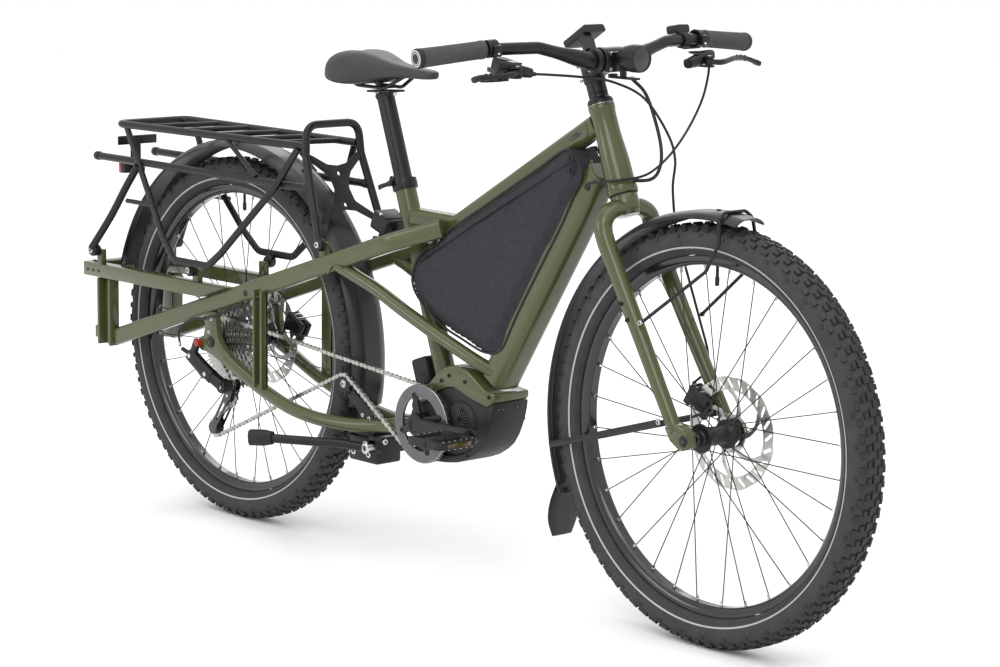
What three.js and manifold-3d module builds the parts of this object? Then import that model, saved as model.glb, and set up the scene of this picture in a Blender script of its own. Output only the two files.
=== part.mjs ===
// Cargo bicycle with a long rear deck, a mid motor, a rear rack and a frame bag.
// Millimetres.  +X is the forward direction, +Y the rider's left, +Z up, floor at z = 0.
// Positions below are written from the rear axle (x = 0) and moved to the middle at the end.
import * as THREE from 'three';
import { mergeVertices } from 'three/addons/utils/BufferGeometryUtils.js';
import Module from 'manifold-3d';

const wasm = await Module();
wasm.setup();

// ---- driving dimensions -------------------------------------------------------------------
const GAP = 0.3;                 // clearance left between pieces that touch
const WHEEL_R = 376;             // outer radius of the tyre
const WHEELBASE = 1338;          // rear axle to front axle
const TYRE_HALF = 33.5;          // half width of the tyre
const RIM_R = 318;               // outer radius of the rim flange
const RIM_INNER = 301;           // radius where the spokes leave the rim
const ROTOR_R = 101.5;           // brake rotor
const SPOKES = 32;               // per wheel
const HEAD_BOTTOM = [1104, 0, 779];
const HEAD_DIR = [-0.3683, 0, 0.9297];
const HEAD_LENGTH = 166;
const STEERER_R = 14.3;
const HEAD_BORE = 19;
const SEAT_TOP = [504, 0, 746];
const SEAT_DIR = [0.333, 0, -0.943];
const SEAT_TUBE_R = 20.5;
const POST_R = 17.4;
const BEAM_Y = 75.5;             // centre of the twin main beams
const BEAM_W = 25;
const BEAM_H = 36;
const BEAM_SLOPE = 0.3316;       // rise of the beams towards the front
const BEAM_Z0 = 456;             // beam centre height above the rear axle
const DECK_Z = 496;              // top of the deck rails
const DECK_H = 30;
const DECK_Y = 85;
const DECK_REAR = -441;
const BB = [628, 0, 297];        // crank axis
const RING_R = 73;               // chainring pitch radius
const COG_R = 46;                // pitch radius of the sprocket in use
const CRANK = 170;
const CHAIN_Y_FRONT = -55;
const CHAIN_Y_REAR = -47;
const BAR = [1062, 0, 1015];     // handlebar centre in the stem clamp
const GRIP_END = [1010, 409, 1029];
const GRIP_START = [1029, 272, 1041];
const STAND = [458, 0, 222];     // pivot of the two legged stand
const LENGTH_REAR = DECK_REAR;
const LENGTH_FRONT = WHEELBASE + WHEEL_R;
const X_MID = (LENGTH_REAR + LENGTH_FRONT) / 2;
const RAD = Math.PI / 180;

// ---- colours -------------------------------------------------------------------------------
const OLIVE = [0x5d6344, 0.35, 0.2];
const BLACK_METAL = [0x2b2b2d, 0.4, 0.6];
const BLACK_PLASTIC = [0x242425, 0.55, 0.0];
const RUBBER = [0x262626, 0.85, 0.0];
const STEEL = [0xb5b5b2, 0.3, 0.9];
const FABRIC = [0x3c3a3e, 0.95, 0.0];
const RED = [0x8c1512, 0.3, 0.0];
const GREY = [0x4b4c4e, 0.5, 0.4];

// ---- solids --------------------------------------------------------------------------------
const vec = (a) => new THREE.Vector3(a[0], a[1], a[2]);

function toSolid(geometry) {
  let g = geometry.clone();
  g.deleteAttribute('normal');
  g.deleteAttribute('uv');
  g = mergeVertices(g, 1e-4);
  const triVerts = [];
  for (let i = 0; i < g.index.count; i += 3) {
    const [a, b, c] = [g.index.getX(i), g.index.getX(i + 1), g.index.getX(i + 2)];
    if (a !== b && b !== c && a !== c) triVerts.push(a, b, c);
  }
  const mesh = new wasm.Mesh({
    numProp: 3,
    vertProperties: new Float32Array(g.attributes.position.array),
    triVerts: new Uint32Array(triVerts),
  });
  return new wasm.Manifold(mesh);
}

function toGeometry(solid) {
  const mesh = solid.getMesh();
  const g = new THREE.BufferGeometry();
  g.setAttribute('position', new THREE.BufferAttribute(new Float32Array(mesh.vertProperties), 3));
  g.setIndex(new THREE.BufferAttribute(new Uint32Array(mesh.triVerts), 1));
  return g;
}

// Keeps the main piece where a cut leaves crumbs.
function largest(solid) {
  return solid.decompose().sort((a, b) => b.volume() - a.volume())[0];
}

function join(list) {
  return list.reduce((a, b) => a.add(b));
}

function cut(solid, list) {
  return list.reduce((a, b) => a.subtract(b), solid);
}

function circle(radius, sides = 10) {
  const out = [];
  for (let i = 0; i < sides; i += 1) {
    const a = (i + 0.5) / sides * 2 * Math.PI;
    out.push([radius * Math.cos(a), radius * Math.sin(a)]);
  }
  return out;
}

function rect(width, height, chamfer = 0) {
  const w = width / 2;
  const h = height / 2;
  if (chamfer === 0) {
    return [[-w, -h], [w, -h], [w, h], [-w, h]];
  }
  const c = chamfer;
  return [[-w + c, -h], [w - c, -h], [w, -h + c], [w, h - c],
    [w - c, h], [-w + c, h], [-w, h - c], [-w, -h + c]];
}

// Rounds the inner corners of a line of points.
function rounded(points, radius, steps = 3) {
  const out = [vec(points[0])];
  for (let i = 1; i < points.length - 1; i += 1) {
    const p = vec(points[i]);
    const a = vec(points[i - 1]).sub(p);
    const b = vec(points[i + 1]).sub(p);
    const half = a.angleTo(b) / 2;
    const back = Math.min(radius / Math.tan(half), a.length() * 0.45, b.length() * 0.45);
    const from = p.clone().addScaledVector(a.normalize(), back);
    const to = p.clone().addScaledVector(b.normalize(), back);
    const curve = new THREE.QuadraticBezierCurve3(from, p, to);
    out.push(...curve.getPoints(steps));
  }
  out.push(vec(points[points.length - 1]));
  return out;
}

// Carries a section [side, normal] along a line of points; `side` is the direction of side.
function sweep(points, outline, side = [0, 1, 0], { closed = false, scale = null } = {}) {
  const flat = outline.map((p) => new THREE.Vector2(p[0], p[1]));
  const section = THREE.ShapeUtils.area(flat) < 0 ? outline.slice().reverse() : outline;
  const line = points.map((p) => (Array.isArray(p) ? vec(p) : p));
  const count = line.length;
  let s = vec(side);
  const first = line[1].clone().sub(line[0]).normalize();
  if (Math.abs(first.dot(s)) > 0.95) s = new THREE.Vector3(first.z, first.x, first.y);
  const positions = [];
  for (let i = 0; i < count; i += 1) {
    const prev = line[closed ? (i + count - 1) % count : Math.max(i - 1, 0)];
    const next = line[closed ? (i + 1) % count : Math.min(i + 1, count - 1)];
    const here = line[i];
    const din = here.clone().sub(prev).normalize();
    const dout = next.clone().sub(here).normalize();
    if (din.lengthSq() === 0) din.copy(dout);
    if (dout.lengthSq() === 0) dout.copy(din);
    const t = din.clone().add(dout).normalize();
    s = s.clone().addScaledVector(t, -s.dot(t)).normalize();
    const n = new THREE.Vector3().crossVectors(t, s);
    const stretch = 1 / Math.max(t.dot(dout), 0.5);
    const bend = dout.clone().sub(din);
    const k = scale ? scale[i] : 1;
    const along = bend.lengthSq() > 1e-9 ? bend.normalize() : null;
    for (const [u, v] of section) {
      const q = s.clone().multiplyScalar(u * k).addScaledVector(n, v * k);
      if (along) q.addScaledVector(along, q.dot(along) * (stretch - 1));
      q.add(here);
      positions.push(q.x, q.y, q.z);
    }
  }
  return loft(positions, section, count, closed);
}

// Skins rings of points; `section` is their outline seen flat, used to close the two ends.
function loft(positions, section, count, closed = false) {
  const m = section.length;
  const rings = closed ? count : count - 1;
  const index = [];
  for (let i = 0; i < rings; i += 1) {
    const a = i * m;
    const b = ((i + 1) % count) * m;
    for (let j = 0; j < m; j += 1) {
      const k = (j + 1) % m;
      index.push(a + j, a + k, b + k, a + j, b + k, b + j);
    }
  }
  if (!closed) {
    const caps = THREE.ShapeUtils.triangulateShape(section.map((p) => new THREE.Vector2(p[0], p[1])), []);
    const last = (count - 1) * m;
    for (const [a, b, c] of caps) {
      index.push(a, c, b);
      index.push(last + a, last + b, last + c);
    }
  }
  const g = new THREE.BufferGeometry();
  g.setAttribute('position', new THREE.BufferAttribute(new Float32Array(positions), 3));
  g.setIndex(index);
  return outward(g);
}

// Turns the faces over where the body came out inside out.
function outward(g) {
  const p = g.attributes.position.array;
  const ix = g.index.array;
  let volume = 0;
  for (let i = 0; i < ix.length; i += 3) {
    const [a, b, c] = [ix[i] * 3, ix[i + 1] * 3, ix[i + 2] * 3];
    volume += p[a] * (p[b + 1] * p[c + 2] - p[b + 2] * p[c + 1])
      + p[a + 1] * (p[b + 2] * p[c] - p[b] * p[c + 2])
      + p[a + 2] * (p[b] * p[c + 1] - p[b + 1] * p[c]);
  }
  if (volume < 0) {
    const flipped = Array.from(ix);
    for (let i = 0; i < flipped.length; i += 3) {
      [flipped[i + 1], flipped[i + 2]] = [flipped[i + 2], flipped[i + 1]];
    }
    g.setIndex(flipped);
  }
  return g;
}

function rod(points, radius, sides = 8, side = [0, 1, 0]) {
  return toSolid(sweep(points, circle(radius, sides), side));
}

function bar(points, width, height, chamfer = 0, side = [0, 1, 0]) {
  return toSolid(sweep(points, rect(width, height, chamfer), side));
}

function block(center, size, rotationY = 0) {
  const g = new THREE.BoxGeometry(size[0], size[1], size[2]);
  g.rotateY(rotationY);
  g.translate(center[0], center[1], center[2]);
  return toSolid(g);
}

// Turned body: profile of [radius, distance] along `axis` from `origin`.
function turned(profile, origin, axis, sides = 16) {
  const loop = profile.map((p) => new THREE.Vector2(p[0], p[1]));
  const onAxis = profile[0][0] === 0 && profile[profile.length - 1][0] === 0;
  if (!onAxis) loop.push(loop[0].clone());
  const g = new THREE.LatheGeometry(loop, sides);
  g.applyQuaternion(new THREE.Quaternion().setFromUnitVectors(new THREE.Vector3(0, 1, 0),
    vec(axis).normalize()));
  g.translate(origin[0], origin[1], origin[2]);
  g.deleteAttribute('normal');
  g.deleteAttribute('uv');
  return toSolid(outward(mergeVertices(g, 1e-4)));
}

// Flat plate drawn in x and z, standing across y.
function plate(outline, yLow, yHigh, holes = []) {
  const shape = new THREE.Shape(outline.map((p) => new THREE.Vector2(p[0], p[1])));
  for (const [x, z, r] of holes) {
    const hole = new THREE.Path();
    hole.absarc(x, z, r, 0, 2 * Math.PI, true);
    shape.holes.push(hole);
  }
  const g = new THREE.ExtrudeGeometry(shape, { depth: yHigh - yLow, bevelEnabled: false, curveSegments: 8 });
  g.rotateX(Math.PI / 2);
  g.translate(0, yHigh, 0);
  return toSolid(g);
}

const parts = [];

function add(name, solid, [color, roughness, metalness]) {
  const geometry = toGeometry(solid);
  geometry.translate(-X_MID, 0, 0);
  const material = new THREE.MeshStandardMaterial({ color, roughness, metalness });
  const mesh = new THREE.Mesh(geometry, material);
  mesh.name = name;
  parts.push(mesh);
}

const along = (origin, dir, t) => [origin[0] + dir[0] * t, origin[1] + dir[1] * t, origin[2] + dir[2] * t];
const beamTop = (x) => BEAM_Z0 + BEAM_H / 2 / Math.cos(Math.atan(BEAM_SLOPE)) + BEAM_SLOPE * x;
const beamZ = (x) => BEAM_Z0 + BEAM_SLOPE * x;
const REAR_AXLE = [0, 0, WHEEL_R];
const FRONT_AXLE = [WHEELBASE, 0, WHEEL_R];

// ---- main frame ----------------------------------------------------------------------------
const headTube = turned([
  [HEAD_BORE, 0], [28, 0], [28, 10], [26.6, 16], [26.6, 62], [22.8, 108], [22.8, 150],
  [24.4, 153], [24.4, HEAD_LENGTH], [HEAD_BORE, HEAD_LENGTH],
], HEAD_BOTTOM, HEAD_DIR);
const headKeepOut = turned([[0, -4], [28 + GAP, -4], [28 + GAP, 14], [26.9, 20], [26.9, 66],
  [23.1, 112], [23.1, 145], [24.8, 146], [24.8, 170], [0, 170]], HEAD_BOTTOM, HEAD_DIR);
const seatTubeLength = 405;
const seatTube = join([
  turned([[POST_R + GAP, 0], [SEAT_TUBE_R, 0], [SEAT_TUBE_R, seatTubeLength],
    [POST_R + GAP, seatTubeLength]], SEAT_TOP, SEAT_DIR),
  turned([[POST_R + GAP, -4], [25, -4], [25, 12], [POST_R + GAP, 12]], SEAT_TOP, SEAT_DIR),
  block([SEAT_TOP[0] - 27, -2, SEAT_TOP[2] + 2], [12, 20, 12], 0.34),
]).subtract(turned([[0, -20], [POST_R + GAP, -20], [POST_R + GAP, 60], [0, 60]], SEAT_TOP, SEAT_DIR));
const seatKeepOut = turned([[0, -10], [SEAT_TUBE_R + GAP, -10], [SEAT_TUBE_R + GAP, 430], [0, 430]],
  SEAT_TOP, SEAT_DIR);

const topLine = rounded([[1040, 0, 899], [667, 0, 679], [520, 0, 681]], 26);
const topTubeFull = toSolid(sweep(topLine, rect(40, 38, 9)));
const topKeepOut = toSolid(sweep(topLine, rect(40 + 2 * GAP, 38 + 2 * GAP, 9)));
const downDir = [-0.5358, 0, -0.8443];
const downTop = [1053, 0, 821];
const downLine = [downTop, along(downTop, downDir, 560)];
const downTubeFull = bar(downLine, 65, 60, 12);
const downKeepOut = bar([along(downTop, downDir, -20), along(downTop, downDir, 580)], 65 + 2 * GAP,
  60 + 2 * GAP, 12);

// Motor shell: an arch over the motor, between the seat tube and the down tube.
const archOuter = [[606, 352], [640, 384], [664, 404], [690, 417], [722, 418], [752, 407], [790, 384],
  [836, 384], [824, 362]];
const archInner = [[796, 350], [745, 362], [700, 376], [662, 366], [628, 346]];
const SHELL_HALF = 44;
const motorShell = plate([...archOuter, ...archInner], -SHELL_HALF, SHELL_HALF);
const shellKeepOut = plate([[590, 330], [606, 352 + GAP], [640, 384 + GAP], [664, 404 + GAP],
  [690, 417 + GAP], [722, 418 + GAP], [752, 407 + GAP], [790, 384 + GAP], [850, 384 + GAP],
  [850, 330]], -SHELL_HALF - 4,
    SHELL_HALF + 4);

const crankBore = turned([[0, -90], [17, -90], [17, 90], [0, 90]], BB, [0, 1, 0]);
const motorOutline = [[628, 345], [662, 365.6], [700, 375.6], [745, 361.6], [795, 349.6], [800, 336],
  [783, 296], [752, 264], [706, 246], [650, 243], [604, 250], [578, 272], [572, 302], [588, 330]];
const motorUnit = cut(join([
  plate(motorOutline, -40, 40),
  turned([[0, 40], [44, 40], [38, 49], [0, 49]], [BB[0] + 8, 0, BB[2] + 2], [0, -1, 0]),
  turned([[0, 40], [44, 40], [38, 49], [0, 49]], [BB[0] + 8, 0, BB[2] + 2], [0, 1, 0]),
  turned([[0, 40], [42, 40], [34, 50], [0, 50]], [722, 0, 312], [0, -1, 0]),
]), [crankBore]);
const skidOutline = [[824.3, 361.7], [818, 330], [799, 290], [764, 257], [712, 233], [650, 226],
  [600, 232], [585, 243], [604, 249.7], [650, 242.7], [706, 245.7], [752.2, 263.7], [783.3, 295.8],
  [800.3, 336], [796.3, 349.6]];
const skidPlate = plate(skidOutline, -SHELL_HALF, SHELL_HALF);

add('head_tube', headTube, OLIVE);
add('top_tube', largest(cut(topTubeFull, [headKeepOut, seatKeepOut])), OLIVE);
add('down_tube', cut(downTubeFull, [headKeepOut, shellKeepOut, topKeepOut]), OLIVE);
add('seat_tube', cut(seatTube, [shellKeepOut]), OLIVE);
add('motor_shell', motorShell, OLIVE);
add('motor_unit', motorUnit, BLACK_PLASTIC);
add('skid_plate', skidPlate, GREY);

// ---- side frames: beam, lower stay and the two uprights of each side ------------------------
const stayLine = [[395, -75.5, 579], [436, -73, 566], [500, -66, 543], [575, -57, 508], [660, -45, 470],
  [745, -36, 436], [830, -28, 402]];
const chainstayLine = [[44, -80, 348], [90, -80, 327], [164, -80, 299], [250, -79, 275], [330, -72, 264],
  [400, -58, 262], [455, -44, 266], [505, -35, 272], [575, -32, 284]];
const stayR = 13;
const chainstayR = 13.5;

function sideFrame(side) {
  const flip = (list) => list.map((p) => [p[0], p[1] * side, p[2]]);
  const beamEnds = [[-345, BEAM_Y, beamZ(-345)], [545, BEAM_Y, beamZ(545)], [700, 16, beamZ(700)]];
  const beamLine = rounded(flip(beamEnds), 60);
  const beam = toSolid(sweep(beamLine, rect(BEAM_W, BEAM_H, 4)));
  const stay = rod(flip(stayLine.map((p) => [p[0], -p[1], p[2]])), stayR, 10);
  const chainstayClear = rod(flip(chainstayLine.map((p) => [p[0], -p[1], p[2]])), chainstayR + GAP, 10);
  const rearUpright = cut(block([-370, 84 * side, 393.5], [48, 24, 143.4]),
    [block([-366, 92 * side, 393.5], [32, 14, 160])]);
  const frontUpright = cut(block([166, 89 * side, 398], [30, 17, 210]),
    [block([168, 94 * side, 398], [18, 12, 230])]);
  const flange = block([-398, 84 * side, 348], [14, 20, 26]);
  const boss = block([345, 68 * side, 597], [20, 14, 44]);
  return cut(join([beam, stay, rearUpright, frontUpright, flange, boss]),
    [chainstayClear, topKeepOut, shellKeepOut, downKeepOut, seatKeepOut]);
}

const dropoutOutline = [[-20, 429], [14, 440], [18, 404], [30, 378], [62, 356], [52, 330], [22, 342],
  [-6, 352], [-32, 354], [-47, 362], [-44, 378], [-26, 386], [-22, 404]];

function chainstay(side) {
  const line = chainstayLine.map((p) => [p[0], -p[1] * side, p[2]]);
  const low = side > 0 ? 74 : -88;
  const solids = [rod(line, chainstayR, 10), plate(dropoutOutline, low, low + 14)];
  return join(solids);
}

// The rear axle rod belongs to the left chainstay and ends in a bore of the right one.
const rearAxleRod = turned([[0, -81], [6, -81], [6, 80], [0, 80]], REAR_AXLE, [0, 1, 0], 16);
const rearAxleBore = turned([[0, -82], [6 + GAP, -82], [6 + GAP, -70], [0, -70]], REAR_AXLE, [0, 1, 0], 16);
const motorClear = plate([[560, 240], [572, 220], [640, 200], [840, 200], [840, 400], [606, 352 + GAP],
  [588 - GAP, 331], [571.6, 302]], -50, 50);

add('beam_right', sideFrame(-1), OLIVE);
add('beam_left', sideFrame(1), OLIVE);
add('chainstay_right', cut(chainstay(-1), [rearAxleBore, motorClear]), OLIVE);
add('chainstay_left', cut(join([chainstay(1), rearAxleRod]), [motorClear]), OLIVE);

// ---- deck rails with the rear cross member --------------------------------------------------
const railEnd = 70;
const railOutline = [[DECK_REAR, DECK_Z - DECK_H], [DECK_REAR, DECK_Z], [railEnd, DECK_Z],
  [(DECK_Z - DECK_H - beamTop(0)) / BEAM_SLOPE, DECK_Z - DECK_H]];
const beamTopClear = plate([[-300, beamTop(-300) + GAP], [120, beamTop(120) + GAP], [120, 400],
  [-300, 300]], -120, 120);
const deckParts = [block([DECK_REAR + 15, 0, DECK_Z - DECK_H / 2], [30, 2 * DECK_Y, DECK_H])];
for (const side of [-1, 1]) {
  const centre = side * DECK_Y;
  deckParts.push(plate(railOutline, centre - 13, centre + 13));
  deckParts.push(block([-380, side * 92, DECK_Z + 14], [18, 14, 36]));
  deckParts.push(block([-47, side * 86, DECK_Z + 10], [20, 14, 34]));
}
add('deck_frame', cut(join(deckParts), [beamTopClear]), OLIVE);

// ---- rear rack -------------------------------------------------------------------------------
const RACK_Z = 800;
const SIDE_Z = 722;
const RACK_R = 8;
const RACK_SIDES = 6;
const hoopLine = rounded([[348, -84, 616], [289, -70, 780], [284, -66, 842], [284, 66, 842], [289, 70, 780],
  [348, 84, 616]], 34, 2);
const rackCorners = [[283, -66, RACK_Z], [-322, -89, RACK_Z], [-322, 89, RACK_Z], [283, 66, RACK_Z]];
const rackRimLine = rounded(rackCorners, 22, 2);
const rackTopSolids = [
  rod(rackRimLine, RACK_R, RACK_SIDES, [0, 0, 1]),
  rod(hoopLine, RACK_R, RACK_SIDES, [1, 0, 0]),
];
for (const x of [-215, -105, 5, 115, 210]) {
  const y = 88 - (x + 322) * 0.0365;
  rackTopSolids.push(rod([[x - 18, -y, RACK_Z], [x + 18, y, RACK_Z]], 5.5, 6, [0, 0, 1]));
}
const plateDir = [0.339, 0, -0.941];
const plateOutline = [[-66, 0], [-64, -14], [-24, 10], [0, 14], [24, 10], [64, -14], [66, 0], [24, 34],
  [18, 60], [26, 88], [69, 118], [66, 132], [24, 108], [0, 104], [-24, 108], [-66, 132], [-69, 118],
  [-26, 88], [-18, 60], [-24, 34]];
const plateOrigin = [292, 0, 772];
const plateNormal = [0.941, 0, 0.339];
const plateShape = new THREE.Shape(plateOutline.map((p) => new THREE.Vector2(p[0], -p[1])));
const plateGeometry = new THREE.ExtrudeGeometry(plateShape, { depth: 4, bevelEnabled: false });
plateGeometry.applyMatrix4(new THREE.Matrix4().makeBasis(
  vec([0, 1, 0]), vec(plateDir).negate(), vec(plateNormal),
));
plateGeometry.translate(plateOrigin[0], plateOrigin[1], plateOrigin[2]);
const plateHoles = [30, 94].map((d) => turned([[0, -6], [4, -6], [4, 10], [0, 10]],
  along(plateOrigin, plateDir, d), plateNormal, 12));
rackTopSolids.push(cut(toSolid(plateGeometry), plateHoles));

const rackDeck = join(rackTopSolids);
const rackClear = join([
  rod(rackRimLine, RACK_R + GAP, RACK_SIDES, [0, 0, 1]),
  rod(hoopLine, RACK_R + GAP, RACK_SIDES, [1, 0, 0]),
]);

function rackSide(side) {
  const flip = (list) => list.map((p) => [p[0], p[1] * side, p[2]]);
  const rail = rod(flip([[-418, 75, SIDE_Z + 2], [306, 75, SIDE_Z - 3]]), RACK_R, RACK_SIDES, [0, 0, 1]);
  const loop = bar(rounded(flip([[-290, 88, 797], [-250, 84, 716], [-141, 104, 578], [-96, 110, 537],
    [20, 110, 537], [60, 108, 566], [214, 90, 713], [266, 72, 794]]), 24, 1), 7, 15, 0);
  const strut = rod(flip([[-383, 115, 532], [-256, 84, 716]]), RACK_R, RACK_SIDES);
  const rearTie = rod(flip([[-280, 95, 641], [-180, 97, 641]]), 5, 6, [0, 0, 1]);
  const frontDiagonal = rod(flip([[44, 79, 796], [136, 76, 728]]), 5, 6);
  const feet = [
    turned([[0, 0], [9, 0], [9, 17], [0, 17]], [-383, side * 99.5, 527], [0, side, 0], 12),
    turned([[0, 0], [9, 0], [9, 16], [0, 16]], [-47, side * 93.5, 521], [0, side, 0], 12),
  ];
  const link = block([-47, side * 108, 526], [16, 8, 20]);
  return cut(join([rail, loop, strut, rearTie, frontDiagonal, link, ...feet]), [rackClear]);
}

const hoopFeet = [-1, 1].map((side) => turned([[0, 0], [9, 0], [9, 14], [0, 14]],
  [348, side * 75.5, 614], [0, side, 0], 12));
add('rack_deck', join([rackDeck, ...hoopFeet]), BLACK_METAL);
add('rack_side_right', rackSide(-1), BLACK_METAL);
add('rack_side_left', rackSide(1), BLACK_METAL);

// Tail light with its bracket and the reflector bar.
add('taillight', join([
  block([-376, 0, 757], [8, 100, 20]),
  block([-384, 0, 725], [8, 26, 60]),
  block([-396, 0, 696], [24, 56, 24]),
]), RED);

// ---- mudguards -------------------------------------------------------------------------------
function guardSection(half, drop, thick) {
  const top = [[-half, -drop], [-half * 0.66, 0], [half * 0.66, 0], [half, -drop]];
  const low = top.slice().reverse().map((p) => [p[0] * (1 - thick / half), p[1] - thick]);
  return [...top, ...low];
}

function arc(center, radius, from, to, steps) {
  const out = [];
  for (let i = 0; i <= steps; i += 1) {
    const a = (from + (to - from) * i / steps) * RAD;
    out.push([center[0] + radius * Math.cos(a), 0, center[2] + radius * Math.sin(a)]);
  }
  return out;
}

// The arcs run against the clock seen from the right side, so the section normal points to the axle.
function guard(center, radius, from, to, steps, half, drop) {
  const sign = to > from ? -1 : 1;
  const section = guardSection(half, drop, 2.4).map((p) => [p[0], sign * p[1]]);
  return toSolid(sweep(arc(center, radius, from, to, steps), section));
}

const rearGuard = cut(guard(REAR_AXLE, 414, 164, -12, 20, 43, 14), [
  block([-428, 0, 480], [34, 200, 40]),
]);
add('rear_mudguard', rearGuard, BLACK_PLASTIC);

// ---- wheels ----------------------------------------------------------------------------------
const tyreProfile = [
  [RIM_R + GAP, -17], [RIM_R + GAP, 17], [328, 28], [342, TYRE_HALF], [361, TYRE_HALF], [WHEEL_R, 18],
  [WHEEL_R, -18], [361, -TYRE_HALF], [342, -TYRE_HALF], [328, -28],
];
const rimProfile = [[RIM_INNER, -8], [RIM_INNER, 8], [310, 17], [RIM_R, 17], [RIM_R, -17], [310, -17]];

function spokeSet(center, flangeRight, flangeLeft, flangeR) {
  const list = [turned([[298, 0], [RIM_INNER - 1.1, -3], [RIM_INNER - 1.1, 3]], center, [0, 1, 0], SPOKES)];
  for (let i = 0; i < SPOKES; i += 1) {
    const rimAngle = (i + 0.5) / SPOKES * 2 * Math.PI;
    const lean = (i % 4 < 2 ? 1 : -1) * 42 * RAD;
    const left = i % 2 === 0;
    const hubAngle = rimAngle + lean;
    const y = (left ? flangeLeft : flangeRight) + (lean > 0 ? 2 : -2);
    const inner = [center[0] + flangeR * Math.cos(hubAngle), y, center[2] + flangeR * Math.sin(hubAngle)];
    const outer = [center[0] + 299 * Math.cos(rimAngle), left ? 1 : -1, center[2] + 299 * Math.sin(rimAngle)];
    list.push(rod([inner, outer], 1, 3));
  }
  return join(list);
}

function rotor(center, y) {
  const disc = turned([[26, -0.9], [34, -0.9], [34, 0.9], [26, 0.9]], [center[0], y, center[2]], [0, 1, 0],
    16);
  const ring = turned([[82, -0.9], [ROTOR_R, -0.9], [ROTOR_R, 0.9], [82, 0.9]], [center[0], y, center[2]],
    [0, 1, 0], 24);
  const arms = [];
  for (let i = 0; i < 5; i += 1) {
    const a = i * 72 * RAD;
    const b = a + 28 * RAD;
    arms.push(bar([[center[0] + 31 * Math.cos(a), y, center[2] + 31 * Math.sin(a)],
      [center[0] + 86 * Math.cos(b), y, center[2] + 86 * Math.sin(b)]], 1.8, 8, 0, [0, 1, 0]));
  }
  return join([disc, ring, ...arms]);
}

function wheel(name, center, hub, flangeRight, flangeLeft, flangeR, rotorY) {
  add(`${name}_tyre`, turned(tyreProfile, center, [0, 1, 0], 48), RUBBER);
  add(`${name}_rim`, turned(rimProfile, center, [0, 1, 0], 48), BLACK_METAL);
  add(`${name}_spokes`, spokeSet(center, flangeRight, flangeLeft, flangeR), BLACK_METAL);
  add(`${name}_hub`, turned(hub, center, [0, 1, 0], 16), BLACK_METAL);
  add(`${name}_rotor`, rotor(center, rotorY), STEEL);
}

const AXLE_R = 6;
const hubBore = AXLE_R + GAP;
const frontHub = [[hubBore, -52], [12, -52], [13, -34], [26, -34], [26, -30], [16, -24], [16, 24], [26, 30],
  [26, 34], [22, 36], [22, 43.5], [12, 46.5], [12, 52], [hubBore, 52]];
const rearHub = [[hubBore, -24.6], [28, -24.6], [28, -20.4], [18, -14], [18, 24], [28, 30.4],
  [28, 34], [22, 36], [22, 57.4], [13, 60.4], [13, 73], [hubBore, 73]];
wheel('front', FRONT_AXLE, frontHub, -32.4, 32.4, 27.4, 44.7);
wheel('rear', REAR_AXLE, rearHub, -22, 32.5, 29.4, 58.6);

// ---- drive -----------------------------------------------------------------------------------
const cassetteProfile = [[hubBore, -25], [20, -25], [20, -27], [104, -27], [104, -30], [84, -31],
  [84, -36], [64, -37], [64, -42], [COG_R - 4, -42.4], [COG_R - 4, -51.4], [28, -54], [28, -62], [20, -63],
  [20, -72], [hubBore, -72]];
add('cassette', turned(cassetteProfile, REAR_AXLE, [0, 1, 0], 20), STEEL);

const idler = [387, -52, 340];
const guidePulley = [14, CHAIN_Y_REAR, 262];
const tensionPulley = [-36, CHAIN_Y_REAR, 188];
const IDLER_R = 19;
const PULLEY_R = 18;

// Straight chain run between two wheels, by the tangent points on the chosen sides.
function tangent(c1, r1, c2, r2, s1, s2) {
  const dx = c2[0] - c1[0];
  const dz = c2[2] - c1[2];
  const length = Math.hypot(dx, dz);
  const base = Math.atan2(dz, dx);
  const turn = Math.acos((s1 * r1 - s2 * r2) / length);
  const a = base + turn;
  return [
    [c1[0] + s1 * r1 * Math.cos(a), c1[1], c1[2] + s1 * r1 * Math.sin(a)],
    [c2[0] + s2 * r2 * Math.cos(a), c2[1], c2[2] + s2 * r2 * Math.sin(a)],
  ];
}

function arcBetween(center, radius, from, to, direction, step = 18) {
  let a = Math.atan2(from[2] - center[2], from[0] - center[0]);
  const end = Math.atan2(to[2] - center[2], to[0] - center[0]);
  let span = end - a;
  if (direction > 0 && span < 0) span += 2 * Math.PI;
  if (direction < 0 && span > 0) span -= 2 * Math.PI;
  const count = Math.max(2, Math.ceil(Math.abs(span) / (step * RAD)));
  const out = [];
  for (let i = 0; i <= count; i += 1) {
    const t = a + span * i / count;
    out.push([center[0] + radius * Math.cos(t), center[1], center[2] + radius * Math.sin(t)]);
  }
  return out;
}

const ringCentre = [BB[0], CHAIN_Y_FRONT, BB[2]];
const cogCentre = [0, CHAIN_Y_REAR, WHEEL_R];
const upper = tangent(cogCentre, COG_R, ringCentre, RING_R, 1, 1);
const toIdler = tangent(ringCentre, RING_R, idler, IDLER_R, 1, -1);
const toTension = tangent(idler, IDLER_R, tensionPulley, PULLEY_R, -1, 1);
const toGuide = tangent(tensionPulley, PULLEY_R, guidePulley, PULLEY_R, 1, -1);
const toCog = tangent(guidePulley, PULLEY_R, cogCentre, COG_R, -1, 1);
const chainLoop = [
  ...arcBetween(ringCentre, RING_R, upper[1], toIdler[0], -1),
  ...arcBetween(idler, IDLER_R, toIdler[1], toTension[0], 1, 30),
  ...arcBetween(tensionPulley, PULLEY_R, toTension[1], toGuide[0], -1, 30),
  ...arcBetween(guidePulley, PULLEY_R, toGuide[1], toCog[0], 1, 30),
  ...arcBetween(cogCentre, COG_R, toCog[1], upper[0], -1),
];
add('chain', toSolid(sweep(chainLoop, rect(6, 7), [0, 1, 0], { closed: true })), STEEL);

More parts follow.
